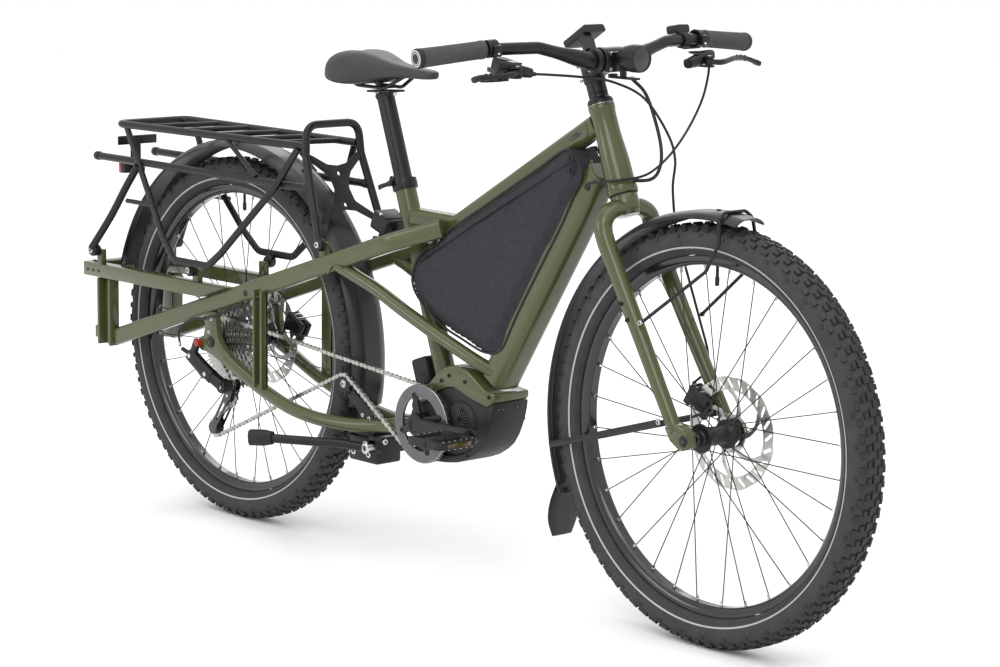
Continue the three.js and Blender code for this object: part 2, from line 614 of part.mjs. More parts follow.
// Crankset: chainring with its guard, spider and the right arm.
const pedalAxis = [BB[0] + CRANK * Math.cos(2 * RAD), 0, BB[2] + CRANK * Math.sin(2 * RAD)];
const ringBody = join([
  turned([[50, -60.8], [76, -60.8], [76, -58.8], [RING_R - 4.4, -58.8], [RING_R - 4.4, -53.6],
    [50, -53.6]], BB, [0, 1, 0], 24),
  turned([[13, -78], [22, -78], [22, -53], [13, -53]], BB, [0, 1, 0], 24),
  ...[20, 110, 200, 290].map((deg) => bar([[BB[0] + 16 * Math.cos(deg * RAD), -60,
    BB[2] + 16 * Math.sin(deg * RAD)],
    [BB[0] + 54 * Math.cos(deg * RAD), -60, BB[2] + 54 * Math.sin(deg * RAD)]], 8, 16, 0)),
  bar([[BB[0] + 14, -72, BB[2]], [pedalAxis[0] - 12, -80, pedalAxis[2]]], 11, 26, 3),
  turned([[7.3, -88], [15, -88], [15, -74], [7.3, -74]], pedalAxis, [0, 1, 0], 20),
]);
const ringBore = turned([[0, -90], [12.9, -90], [12.9, -40], [0, -40]], BB, [0, 1, 0]);
add('crankset_right', cut(ringBody, [ringBore]), GREY);
const leftEnd = [BB[0] - CRANK * Math.cos(2 * RAD), 0, BB[2] - CRANK * Math.sin(2 * RAD)];
add('crank_left', cut(join([
  turned([[0, -77], [12.6, -77], [12.6, 60], [22, 60], [22, 78], [0, 78]], BB, [0, 1, 0]),
  bar([[BB[0] - 14, 70, BB[2]], [leftEnd[0] + 12, 80, leftEnd[2]]], 11, 26, 3),
  turned([[0, 74], [15, 74], [15, 88], [0, 88]], leftEnd, [0, 1, 0], 20),
]), [turned([[0, 70], [7.3, 70], [7.3, 92], [0, 92]], leftEnd, [0, 1, 0], 20)]), GREY);

function pedal(center, side) {
  const platform = cut(block([center[0], side * 155, center[2]], [96, 98, 15]), [
    block([center[0] + 27, side * 155, center[2]], [24, 70, 20]),
    block([center[0] - 27, side * 155, center[2]], [24, 70, 20]),
  ]);
  const axle = turned([[0, 76], [7, 76], [7, 110], [0, 110]], [center[0], 0, center[2]], [0, side, 0], 16);
  return join([platform, axle]);
}
add('pedal_right', pedal(pedalAxis, -1), BLACK_PLASTIC);
add('pedal_left', pedal(leftEnd, 1), BLACK_PLASTIC);

// Rear derailleur: fixed body, and the sprung cage with its two pulleys.
const knuckle = [24, -66, 286];
add('derailleur_body', join([
  rod([[-38, -88.4, 370], [-38, -98, 370]], 8, 12),
  bar([[-38, -94, 372], [-58, -92, 338]], 10, 16, 0),
  bar([[-62, -92, 342], [-4, -84, 304]], 18, 28, 4),
  bar([[-8, -84, 306], [26, -78, 288]], 20, 24, 4),
  rod([[knuckle[0], -84, knuckle[2]], [knuckle[0], -66.6, knuckle[2]]], 15, 12),
  rod([[-56, -92, 340], [-92, -92, 350]], 5, 8),
]), BLACK_METAL);

function pulleyDisc(center) {
  return turned([[0, -2.5], [PULLEY_R - 4.2, -2.5], [PULLEY_R - 4.2, 2.5], [0, 2.5]], center, [0, 1, 0], 20);
}
const cageOutline = [[24, 304], [38, 290], [34, 270], [22, 248], [-18, 178], [-38, 170], [-54, 182],
  [-50, 204], [-4, 262], [4, 292]];
add('derailleur_cage', join([
  plate(cageOutline, -58.4, -55.4),
  plate(cageOutline, -40, -37.4),
  turned([[0, -19.6], [6, -19.6], [6, 10], [0, 10]], guidePulley, [0, 1, 0], 12),
  turned([[0, -10], [6, -10], [6, 10], [0, 10]], tensionPulley, [0, 1, 0], 12),
  pulleyDisc(guidePulley),
  pulleyDisc(tensionPulley),
  rod([[knuckle[0], -66, knuckle[2]], [knuckle[0], -56, knuckle[2]]], 9, 12),
]), BLACK_METAL);

add('chain_idler', turned([[4.4, -2.6], [IDLER_R - 4.4, -2.6], [IDLER_R - 4.4, 2.6], [4.4, 2.6]],
  idler, [0, 1, 0], 20), BLACK_PLASTIC);

// Stand mount under the stays, with the idler bracket bolted to its right side.
const chainstayClearBoth = [-1, 1].map((side) => rod(chainstayLine.map((p) => [p[0], -p[1] * side, p[2]]),
  chainstayR + GAP, 10));
const standBore = turned([[0, -60], [7 + GAP, -60], [7 + GAP, 60], [0, 60]], STAND, [0, 1, 0], 16);
const standMount = cut(join([
  block([410, 0, 246], [80, 100, 16]),
  block([STAND[0], 0, 226], [40, 64, 34]),
  plate([[372, 236], [448, 236], [448, 256], [402, 300], [397, 350], [377, 350], [380, 300], [372, 262]],
    -48.8, -44.6),
  turned([[0, 46], [4, 46], [4, 54.4], [0, 54.4]], [idler[0], 0, idler[2]], [0, -1, 0], 12),
]), [...chainstayClearBoth, standBore]);
add('stand_mount', standMount, BLACK_METAL);

function standLeg(side) {
  return join([
    rod([[STAND[0], side * 48, STAND[2] - 2], [STAND[0] - 50, side * 74, 226], [262, side * 158, 226]], 9, 8),
    rod([[276, side * 152, 226], [240, side * 167, 224]], 15, 8),
  ]);
}
const standLegs = join([
  standLeg(-1), standLeg(1),
  rod([[STAND[0], -56, STAND[2]], [STAND[0], 56, STAND[2]]], 7, 12),
]);
add('stand_legs', standLegs, BLACK_METAL);

// ---- brakes on the frame ---------------------------------------------------------------------
function caliper(center, y, rotorAxis) {
  const body = block([center[0], y + 3, center[2]], [52, 26, 34], 0.5);
  const slot = turned([[0, y - 2], [ROTOR_R + 2, y - 2], [ROTOR_R + 2, y + 2], [0, y + 2]],
    [rotorAxis[0], 0, rotorAxis[2]], [0, 1, 0], 36);
  return cut(body, [slot]);
}
add('rear_caliper', caliper([98, 0, 410], 58.6, REAR_AXLE), BLACK_METAL);

// ---- steering --------------------------------------------------------------------------------
const crown = [1113, 0, 756];
const legLine = (side) => rounded([crown, [1115, side * 40, 753], [1113, side * 62, 726], [1146, side * 61,
  662],
  [1209, side * 62, 555], [1310, side * 66, 388]], 22, 2);
const legScale = (count) => Array.from({ length: count }, (_, i) => 1 - 0.28 * Math.max(0,
  (i - 8) / (count - 9)));
const forkSolids = [
  turned([[0, -40], [22, -40], [25, -30], [25, -2], [STEERER_R, -2], [STEERER_R, 246], [0, 246]],
    HEAD_BOTTOM, HEAD_DIR),
];
for (const side of [-1, 1]) {
  const line = legLine(side);
  forkSolids.push(toSolid(sweep(line, circle(16.5, 8), [1, 0, 0], { scale: legScale(line.length) })));
  const low = side > 0 ? 54 : -76;
  forkSolids.push(plate([[1294, 392], [1318, 404], [1346, 390], [1352, 372], [1340, 360], [1322, 362],
    [1304, 372]],
    low, low + 22));
}
forkSolids.push(turned([[0, -70], [AXLE_R, -70], [AXLE_R, 70], [0, 70]], FRONT_AXLE, [0, 1, 0], 16));
add('fork', join(forkSolids), OLIVE);

const frontCaliperCentre = [1262, 0, 426];
const forkLegClear = toSolid(sweep(legLine(1), circle(17.2, 8), [1, 0, 0],
  { scale: legScale(legLine(1).length) }));
add('front_caliper', cut(caliper(frontCaliperCentre, 44.7, FRONT_AXLE), [forkLegClear]), BLACK_METAL);

// Front mudguard with its flap and two wire stays.
const frontGuardSolids = [
  guard(FRONT_AXLE, 398, 79, 204, 14, 37, 12),
  bar([[974, 0, 226], [964, 0, 180], [961, 0, 128]], 62, 3, 0),
  rod(rounded([[1231, -76, 571], [1364, -56, 674], [1384, -46, 724], [1378, -42, 762], [1376, -26, 774],
    [1376, 26, 774], [1378, 42, 762], [1384, 46, 724], [1364, 56, 674], [1231, 76, 571]], 8, 1), 3, 6,
      [1, 0, 0]),
  bar(rounded([[1282, -78, 402], [960, -39, 306], [945, 0, 300], [960, 39, 306], [1282, 78, 402]], 14, 3),
    12, 3, 0, [0, 0, 1]),
];
add('front_mudguard', join(frontGuardSolids), BLACK_PLASTIC);

const barLine = (() => {
  const half = [[1062, 0, 1015], [1060, 52, 1015], [1046, 158, 1041], [1029, 272, 1041]];
  const outer = half.slice();
  outer.push([1010.6, 404.5, 1029.4]);
  const full = [...outer.slice(1).reverse().map((p) => [p[0], -p[1], p[2]]), ...outer];
  return rounded(full, 40, 2);
})();
const barScale = barLine.map((p) => {
  const y = Math.abs(p.y);
  if (y < 58) return 1;
  if (y > 130) return 11.1 / 15.8;
  return 1 - (1 - 11.1 / 15.8) * (y - 58) / 72;
});
const barSolid = toSolid(sweep(barLine, circle(15.8, 10), [1, 0, 0], { scale: barScale }));
const barClear = toSolid(sweep(barLine, circle(16.3, 10), [1, 0, 0],
  { scale: barScale.map((s) => s + 0.012) }));
add('handlebar', barSolid, BLACK_METAL);

const stemTop = along(HEAD_BOTTOM, HEAD_DIR, 228);
const steererClear = turned([[0, HEAD_LENGTH - 10], [STEERER_R + GAP, HEAD_LENGTH - 10], [STEERER_R + GAP,
  246 + GAP],
  [0, 246 + GAP]], HEAD_BOTTOM, HEAD_DIR);
add('stem', cut(join([
  turned([[0, HEAD_LENGTH + GAP], [18, HEAD_LENGTH + GAP], [18, 208], [20, 208], [20, 252], [0, 252]],
    HEAD_BOTTOM, HEAD_DIR),
  bar([stemTop, [BAR[0] - 4, 0, BAR[2]]], 38, 34, 4),
  turned([[0, -27], [23, -27], [23, 27], [0, 27]], BAR, [0, 1, 0], 20),
]), [steererClear, barClear]), BLACK_METAL);

function alongBar(y) {
  const t = (Math.abs(y) - GRIP_START[1]) / (GRIP_END[1] - GRIP_START[1]);
  return [GRIP_START[0] + (GRIP_END[0] - GRIP_START[0]) * t, y,
    GRIP_START[2] + (GRIP_END[2] - GRIP_START[2]) * t];
}
for (const [name, side] of [['grip_right', -1], ['grip_left', 1]]) {
  const a = alongBar(side * 272);
  const dir = vec(alongBar(side * 409)).sub(vec(a));
  const length = dir.length();
  dir.normalize();
  const solid = turned([[0, 0], [16, 0], [16.5, 10], [15.2, 30], [17.3, length - 4], [14, length],
    [0, length]], a, [dir.x, dir.y, dir.z], 12);
  add(name, cut(solid, [barClear]), RUBBER);
}

const leverPivot = (side) => [1080, side * 238, 1003];
function brakeBody(side) {
  const c = alongBar(side * 256);
  const ring = rod([[c[0] + 1.4, side * 246, c[2] + 0.2], [c[0] - 1.2, side * 268, c[2] - 1]], 16, 12);
  const arm = bar([[c[0] + 12, side * 256, c[2] - 4], [1062, side * 250, 1016]], 14, 14, 2);
  const cylinder = bar([[1058, side * 262, 1014], [1066, side * 196, 1000]], 20, 22, 4, [1, 0, 0]);
  const fork = bar([[1062, side * 246, 1010], [1084, side * 238, 1003]], 16, 16, 2);
  return [ring, arm, cylinder, fork];
}
const leftBlade = [[1085, 268, 1001], [1066, 322, 1006], [1060, 352, 1004], [1056, 396, 992]];
const rightBlade = [[1089, -262, 1001], [1090, -282, 999], [1080, -316, 999], [1079, -337, 994]];
const leverLine = (side) => rounded([leverPivot(side), ...(side < 0 ? rightBlade : leftBlade)], 18, 2);
const pivotClear = (side) => turned([[0, -6.4], [10, -6.4], [10, 6.4], [0, 6.4]], leverPivot(side),
  [0, 0, 1], 12);
const leverSweepClear = (side) => block([1097, side * 256, 1002], [44, 44, 12.8]);
const rightShifter = [bar([[1030, -224, 1024], [1026, -226, 992]], 34, 30, 4), block([1040, -232, 1000],
  [22, 26, 14])];
const shiftPivot = [1030, -224, 989.4];
const remote = [
  bar([[1012, 210, 1057], [1036, 214, 1062]], 38, 14, 3),
  rod([[1040.4, 200, 1041], [1038.2, 218, 1041]], 15, 12),
  bar([[1038.6, 214, 1027], [1032.4, 258, 1027]], 10, 6, 0),
];
add('brake_body_right', largest(cut(join([...brakeBody(-1), ...rightShifter]),
  [barClear, pivotClear(-1), leverSweepClear(-1)])), BLACK_METAL);
add('brake_body_left', largest(cut(join([...brakeBody(1), ...remote]),
  [barClear, pivotClear(1), leverSweepClear(1)])), BLACK_METAL);
for (const [name, side] of [['brake_lever_right', -1], ['brake_lever_left', 1]]) {
  const arm = toSolid(sweep(leverLine(side), rect(11, 9, 2), [0, 0, 1]));
  const eye = turned([[0, -5.8], [9, -5.8], [9, 5.8], [0, 5.8]], leverPivot(side), [0, 0, 1], 12);
  add(name, join([arm, eye]), BLACK_METAL);
}
add('shift_lever', join([
  turned([[0, 0], [9, 0], [9, -5], [0, -5]].map((p) => [p[0], p[1]]), [shiftPivot[0], shiftPivot[1],
    shiftPivot[2] + 0.6],
    [0, 0, 1], 12),
  bar([[shiftPivot[0], shiftPivot[1], 986], [1014, -262, 985]], 12, 5, 0, [1, 0, 0]),
]), BLACK_PLASTIC);

add('display', cut(join([
  bar([[972, 0, 1039], [1022, 0, 1071]], 50, 11, 2),
  bar([[1008, -14, 1056], [1046, -36, 1030]], 12, 8, 0),
  rod([[BAR[0] - 0.6, -30, BAR[2]], [BAR[0] - 0.6, -41, BAR[2]]], 22, 14),
]), [barClear, turned([[0, -27 - GAP], [24, -27 - GAP], [24, 27], [0, 27]], BAR, [0, 1, 0], 20)]),
  BLACK_PLASTIC);
add('headlight', join([
  turned([[0, 0], [15, 0], [22, 10], [24.5, 22], [24.5, 52], [0, 52]], [1093, 0, 1021], [1, 0, 0], 20),
  bar([[1098, 0, 1010], [1098, 0, 984]], 12, 8, 0),
  bar([[1070, 0, 985], [1132, 0, 985]], 18, 4, 0),
  bar([[1072, 0, 983.4], [1072, 0, 991]], 18, 8, 0),
]), BLACK_PLASTIC);

// Hoses.
function hose(points, radius = 2.4) {
  const curve = new THREE.CatmullRomCurve3(points.map(vec), false, 'centripetal');
  return toSolid(sweep(curve.getPoints(points.length * 2), circle(radius, 5), [0, 1, 0]));
}
add('front_hose', hose([[1064, -192, 998], [1052, -120, 992], [1066, -60, 986], [1094, -20, 978],
  [1126, 25, 950], [1156, 55, 889], [1168, 64, 842], [1158, 70, 786], [1162, 80, 700], [1184, 84, 640],
  [1224, 81, 552], [1243, 81, 502], [1245, 74, 470], [1231, 60, 449], [1238.6, 54, 441]]), BLACK_PLASTIC);
add('rear_hose', hose([[1057, 262, 997], [1059, 257, 972], [1072, 230, 934], [1098, 170, 888],
  [1126, 100, 850], [1136, 48, 824], [1135, 12, 812], [1120, -26, 807], [1090, -44, 802],
  [1052, -37, 796]]), BLACK_PLASTIC);

// ---- frame bag -------------------------------------------------------------------------------
const bagOutline = [[1000, 856], [1036, 812], [983, 714], [880, 556], [829, 466], [792, 450], [760, 452],
  [664, 482], [584, 530], [566, 575], [584, 616], [680, 681], [844, 773]];
const bagShape = new THREE.Shape(bagOutline.map((p) => new THREE.Vector2(p[0], p[1])));
const bagGeometry = new THREE.ExtrudeGeometry(bagShape, {
  depth: 66, bevelEnabled: true, bevelSize: 9, bevelThickness: 9, bevelOffset: -9, bevelSegments: 1,
});
bagGeometry.rotateX(Math.PI / 2);
bagGeometry.translate(0, 33, 0);
const beamClear = (side) => toSolid(sweep(rounded([[400, BEAM_Y * side, beamZ(400)], [545, BEAM_Y * side,
  beamZ(545)],
  [700, 16 * side, beamZ(700)]], 60), rect(BEAM_W + 4, BEAM_H + 4, 4)));
const stayClear = (side) => rod(stayLine.map((p) => [p[0], -p[1] * side, p[2]]), stayR + 2, 10);
add('frame_bag', cut(toSolid(bagGeometry), [topKeepOut, downKeepOut, seatKeepOut, headKeepOut,
  beamClear(-1), beamClear(1),
  stayClear(-1), stayClear(1), shellKeepOut]), FABRIC);

// ---- seat ------------------------------------------------------------------------------------
const postHead = along(SEAT_TOP, SEAT_DIR, -176);
const clampBlock = join([
  block([postHead[0] + 2, 0, postHead[2] + 10], [70, 42, 12], -0.05),
  turned([[0, 0], [17, 0], [20, 8], [20, 12], [0, 12]], along(SEAT_TOP, SEAT_DIR, -166),
    [-0.333, 0, 0.943], 16),
]);
add('seatpost', join([
  turned([[0, -170], [POST_R, -170], [POST_R, 150], [0, 150]], SEAT_TOP, SEAT_DIR),
  clampBlock,
]), BLACK_METAL);

// Saddle shell: sections of [x, half width, top, edge height] joined from tail to nose.
const saddleSections = [[320, 42, 974, 946], [338, 64, 986, 936], [366, 72, 993, 930], [404, 66, 994, 930],
  [446, 48, 983, 938], [490, 30, 974, 946], [540, 21, 969, 948], [580, 18, 966, 948], [594, 11, 962, 950]];
function saddleBody() {
  const rings = saddleSections.map(([x, half, top, edge]) => [
    [x, half * 0.6, edge + 3], [x, half, edge], [x, half * 1.02, edge + 10], [x, half * 0.72, top - 5],
      [x, half * 0.3, top], [x, -half * 0.3, top], [x, -half * 0.72, top - 5],
      [x, -half * 1.02, edge + 10], [x, -half, edge], [x, -half * 0.6, edge + 3],
  ]);
  return toSolid(loft(rings.flat(2), rings[0].map((p) => [p[1], p[2]]), rings.length));
}
const rail = (side) => rod(rounded([[372, side * 34, 944], [392, side * 24, 925], [470, side * 22, 925],
  [520, side * 12, 950]], 14, 2), 3.6, 6, [0, 1, 0]);
add('saddle', cut(join([saddleBody(), rail(-1), rail(1)]), [
  join([
    block([postHead[0] + 2, 0, postHead[2] + 10], [70.6, 42.6, 12.6], -0.05),
    turned([[0, -171], [POST_R + GAP, -171], [POST_R + GAP, 150], [0, 150]], SEAT_TOP, SEAT_DIR),
  ]),
]), BLACK_PLASTIC);

// Quick release lever of the seat clamp.
const leverAt = [SEAT_TOP[0] - 6, -31, SEAT_TOP[2] - 2];
add('seat_clamp_lever', join([
  turned([[0, -5], [6, -5], [6, 5], [0, 5]], leverAt, SEAT_DIR, 12),
  bar([leverAt, [leverAt[0] - 24, -33, leverAt[2] - 8], [leverAt[0] - 46, -28, leverAt[2] - 16]], 5, 9, 0,
    [0, 1, 0]),
]), BLACK_METAL);

// Gear cable from the beam to the derailleur.
add('gear_cable', hose([[112, -90.9, 470], [60, -91.5, 447], [0, -93, 428], [-60, -96, 415], [-96, -97, 390],
  [-97, -96, 366], [-98.4, -94, 354.5]]), BLACK_PLASTIC);

const bicycle = new THREE.Group();
bicycle.name = 'cargo_bicycle';
for (const mesh of parts) {
  bicycle.add(mesh);
}
export default bicycle;
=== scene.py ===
"""Cargo bicycle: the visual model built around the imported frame.

Metres in the row frame: +X forward, +Y the rider's left, +Z up, floor at z = 0.  The
dimensions below are written in millimetres from the rear axle, and at() turns them into metres.
"""

import math

import bmesh
import bpy
from mathutils import Matrix, Vector


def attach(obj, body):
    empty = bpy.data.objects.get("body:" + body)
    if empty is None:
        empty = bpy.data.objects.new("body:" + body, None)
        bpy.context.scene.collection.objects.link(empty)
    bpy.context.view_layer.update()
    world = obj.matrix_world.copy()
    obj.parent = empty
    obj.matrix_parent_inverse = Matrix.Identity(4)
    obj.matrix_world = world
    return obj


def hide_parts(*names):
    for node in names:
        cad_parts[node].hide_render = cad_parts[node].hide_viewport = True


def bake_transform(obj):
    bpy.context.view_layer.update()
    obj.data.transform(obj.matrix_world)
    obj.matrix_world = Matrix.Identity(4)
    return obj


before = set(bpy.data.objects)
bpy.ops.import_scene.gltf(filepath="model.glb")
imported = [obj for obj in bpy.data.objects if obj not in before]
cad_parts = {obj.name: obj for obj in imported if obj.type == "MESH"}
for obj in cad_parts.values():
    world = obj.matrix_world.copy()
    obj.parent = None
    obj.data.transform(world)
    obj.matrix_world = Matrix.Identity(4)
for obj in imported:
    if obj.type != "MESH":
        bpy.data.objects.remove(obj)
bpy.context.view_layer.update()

X_MID = 636.5
REAR_AXLE = (0, 0, 376)
FRONT_AXLE = (1338, 0, 376)


def at(p):
    return Vector(((p[0] - X_MID) / 1000, p[1] / 1000, p[2] / 1000))


# ---- camera --------------------------------------------------------------------------------
def make_camera():
    yaw, pitch, roll = 2.39614, -0.16697, 0.01238
    forward = Vector((math.cos(pitch) * math.cos(yaw), math.cos(pitch) * math.sin(yaw), math.sin(pitch)))
    level = forward.cross(Vector((0, 0, 1))).normalized()
    lift = level.cross(forward)
    right = level * math.cos(roll) + lift * math.sin(roll)
    up = lift * math.cos(roll) - level * math.sin(roll)
    data = bpy.data.cameras.new("camera")
    data.sensor_width = 36
    data.lens = 107.04
    data.shift_x = -0.01575
    data.shift_y = 0.01112
    data.clip_end = 60
    data.dof.use_dof = False
    ob = bpy.data.objects.new("camera", data)
    rows = Matrix((right, up, -forward)).transposed()
    ob.matrix_world = Matrix.Translation((4.2050, -3.7064, 1.3915)) @ rows.to_4x4()
    bpy.context.collection.objects.link(ob)
    bpy.context.scene.camera = ob


make_camera()


# ---- materials -----------------------------------------------------------------------------
def linear(hexcode):
    out = []
    for shift in (16, 8, 0):
        c = ((hexcode >> shift) & 255) / 255
        out.append(c / 12.92 if c <= 0.04045 else ((c + 0.055) / 1.055) ** 2.4)
    return (*out, 1.0)


def material(name, color, rough, metal=0.0, spread=0.12, scale=60.0, bump=0.0, bump_scale=900.0,
             rough_spread=0.08, coat=0.0, pattern=None, gloss=0.5):
    """Principled surface whose colour, roughness and bump vary with noise in object space."""
    m = bpy.data.materials.new(name)
    m.use_nodes = True
    nt = m.node_tree
    bsdf = nt.nodes["Principled BSDF"]
    base = linear(color) if isinstance(color, int) else color
    bsdf.inputs["Metallic"].default_value = metal
    bsdf.inputs["Specular IOR Level"].default_value = gloss
    bsdf.inputs["Coat Weight"].default_value = coat
    bsdf.inputs["Coat Roughness"].default_value = 0.05
    coords = nt.nodes.new("ShaderNodeTexCoord")
    source = coords.outputs["Object"]
    noise = nt.nodes.new("ShaderNodeTexNoise")
    noise.inputs["Scale"].default_value = scale
    noise.inputs["Detail"].default_value = 5
    nt.links.new(source, noise.inputs["Vector"])
    ramp = nt.nodes.new("ShaderNodeValToRGB")
    ramp.color_ramp.elements[0].position = 0.3
    ramp.color_ramp.elements[1].position = 0.7
    ramp.color_ramp.elements[0].color = tuple(c * (1 - spread) for c in base[:3]) + (1,)
    ramp.color_ramp.elements[1].color = tuple(min(1, c * (1 + spread)) for c in base[:3]) + (1,)
    nt.links.new(noise.outputs["Fac"], ramp.inputs["Fac"])
    nt.links.new(ramp.outputs["Color"], bsdf.inputs["Base Color"])
    spec = nt.nodes.new("ShaderNodeMapRange")
    spec.inputs["To Min"].default_value = max(0.02, rough - rough_spread)
    spec.inputs["To Max"].default_value = min(1, rough + rough_spread)
    nt.links.new(noise.outputs["Fac"], spec.inputs["Value"])
    nt.links.new(spec.outputs["Result"], bsdf.inputs["Roughness"])
    if bump:
        height = pattern(nt, source) if pattern else grain(nt, source, bump_scale)
        node = nt.nodes.new("ShaderNodeBump")
        node.inputs["Strength"].default_value = bump
        node.inputs["Distance"].default_value = 0.001
        nt.links.new(height, node.inputs["Height"])
        nt.links.new(node.outputs["Normal"], bsdf.inputs["Normal"])
    return m


def grain(nt, source, scale):
    tex = nt.nodes.new("ShaderNodeTexNoise")
    tex.inputs["Scale"].default_value = scale
    tex.inputs["Detail"].default_value = 3
    nt.links.new(source, tex.inputs["Vector"])
    return tex.outputs["Fac"]


def weave(nt, source):
    """Plain weave: two crossed sets of threads."""
    total = None
    for axis in ("X", "Z"):
        wave = nt.nodes.new("ShaderNodeTexWave")
        wave.bands_direction = axis
        wave.inputs["Scale"].default_value = 220
        wave.inputs["Distortion"].default_value = 0.6
        nt.links.new(source, wave.inputs["Vector"])
        if total is None:
            total = wave.outputs["Fac"]
            continue
        add = nt.nodes.new("ShaderNodeMath")
        add.operation = "MULTIPLY"
        nt.links.new(total, add.inputs[0])
        nt.links.new(wave.outputs["Fac"], add.inputs[1])
        total = add.outputs[0]
    return total


def pebble(nt, source):
    """Leather grain."""
    tex = nt.nodes.new("ShaderNodeTexVoronoi")
    tex.inputs["Scale"].default_value = 700
    nt.links.new(source, tex.inputs["Vector"])
    return tex.outputs["Distance"]


M = {"paint": material("paint_olive", 0x444A2A, 0.24, 0.0, 0.05, 14, 0.02, 500, 0.04, coat=0.35,
                       gloss=0.35), "black": material("black_anodised", 0x1A1A1B, 0.36, 0.4, 0.15, 40, 0.04,
                                                      1500), "gloss": material("black_gloss", 0x101011,
        0.18, 0.0, 0.1, 30, 0.02, 700, 0.04, coat=0.3), "plastic": material("black_plastic", 0x18181A, 0.5,
        0.0, 0.12, 50, 0.12, 2200, gloss=0.35), "guard": material("guard_plastic", 0x1C1C1D, 0.34, 0.0, 0.1,
        30, 0.05, 1200, 0.06, gloss=0.45), "rubber": material("tyre_rubber", 0x323232, 0.74, 0.0, 0.22, 35,
        0.25, 1300, gloss=0.4), "knob": material("tread_rubber", 0x161616, 0.55, 0.0, 0.25, 35, 0.25, 1300,
                                                 gloss=0.5), "stripe": material("reflective_band", 0xA2A4A4,
        0.4, 0.2, 0.08, 80, 0.05, 1500), "grip": material("grip_rubber", 0x3C3C3D, 0.7, 0.0, 0.15, 80, 0.3,
        1800), "steel": material("brushed_steel", 0xB9B8B5, 0.28, 1.0, 0.1, 60, 0.06, 900, 0.1),
     "silver": material("silver_bolt", 0xC4C3C0, 0.25, 1.0, 0.08, 90, 0.04, 1200),
     "chain": material("chain_steel", 0xA8A6A2, 0.3, 1.0, 0.2, 120, 0.05, 1500),
     "crank": material("crank_alloy", 0x606163, 0.3, 0.7, 0.12, 40, 0.05, 1500),
     "grey": material("grey_cover", 0x424345, 0.4, 0.3, 0.1, 40, 0.05, 1500),
     "fabric": material("bag_cloth", 0x363338, 0.92, 0.0, 0.16, 90, 0.6, pattern=weave, gloss=0.25),
     "piping": material("bag_piping", 0x1A191C, 0.7, 0.0, 0.15, 120, 0.2, 1600),
     "leather": material("saddle_cover", 0x232323, 0.5, 0.0, 0.15, 60, 0.25, pattern=pebble),
     "red": material("red_lens", 0x9A1410, 0.12, 0.0, 0.08, 90, 0.03, 900, 0.03, coat=0.6),
     "amber": material("amber_reflector", 0x453610, 0.15, 0.0, 0.1, 200, 0.2, 900, 0.03, coat=0.5),
     "screen": material("display_glass", 0x0B0C0E, 0.08, 0.0, 0.1, 30, 0.01, 700, 0.02, coat=0.6),
     "label": material("pale_band", 0xC4C4C2, 0.4, 0.0, 0.04, 80, 0.03, 900),
     "floor": material("floor_paint", 0xECECEC, 0.9, 0.0, 0.006, 3, 0.0, gloss=0.1),}


# ---- mesh tools ----------------------------------------------------------------------------
def circle(radius, count=16):
    return [(radius * math.cos(2 * math.pi * i / count), radius * math.sin(2 * math.pi * i / count))
            for i in range(count)]


def oval(a, b, count=20):
    return [(a * math.cos(2 * math.pi * i / count), b * math.sin(2 * math.pi * i / count))
            for i in range(count)]


def rrect(width, height, radius, steps=4):
    """Rounded rectangle as a list of points."""
    out = []
    w, h = width / 2 - radius, height / 2 - radius
    for cx, cy, start in ((w, h, 0), (-w, h, 90), (-w, -h, 180), (w, -h, 270)):
        for i in range(steps + 1):
            a = math.radians(start + 90 * i / steps)
            out.append((cx + radius * math.cos(a), cy + radius * math.sin(a)))
    return out


def ring(radius, count=36, center=(0, 0)):
    return [(center[0] + x, center[1] + y) for x, y in circle(radius, count)]


def capsule(p, q, radius, steps=6):
    """Outline of a slot with round ends, from p to q."""
    lean = math.atan2(q[1] - p[1], q[0] - p[0])
    out = []
    for c, start in ((p, lean + math.pi / 2), (q, lean - math.pi / 2)):
        for i in range(steps + 1):
            a = start + math.pi * i / steps
            out.append((c[0] + radius * math.cos(a), c[1] + radius * math.sin(a)))
    return out


def rounded(points, radius, steps=6):
    """Line of points with its inner corners rounded."""
    pts = [Vector(p) for p in points]
    out = [pts[0]]
    for i in range(1, len(pts) - 1):
        a, b = pts[i - 1] - pts[i], pts[i + 1] - pts[i]
        half = a.angle(b) / 2
        back = min(radius / math.tan(half), a.length * 0.48, b.length * 0.48)
        start, end = pts[i] + a.normalized() * back, pts[i] + b.normalized() * back
        for k in range(steps + 1):
            t = k / steps
            out.append(start * (1 - t) ** 2 + pts[i] * 2 * t * (1 - t) + end * t * t)
    out.append(pts[-1])
    return out


def spline(points, steps=8):
    """Smooth curve through the points."""
    pts = [Vector(p) for p in points]
    pts = [pts[0] * 2 - pts[1], *pts, pts[-1] * 2 - pts[-2]]
    out = []
    for i in range(1, len(pts) - 2):
        a, b, c, d = pts[i - 1:i + 3]
        for k in range(steps):
            t = k / steps
            out.append(0.5 * (b * 2 + (c - a) * t + (a * 2 - b * 5 + c * 4 - d) * t * t
                              + (b * 3 - a - c * 3 + d) * t ** 3))
    out.append(pts[-2])
    return out


def both(fn):
    """Runs fn for the right side (-1) and the left side (1)."""
    return [fn(side, name) for side, name in ((-1, "right"), (1, "left"))]


def flip(points, side):
    return [(p[0], p[1] * side, p[2]) for p in points]


def polar(center, radius, degrees, y=0.0):
    a = math.radians(degrees)
    return (center[0] + radius * math.cos(a), y, center[2] + radius * math.sin(a))


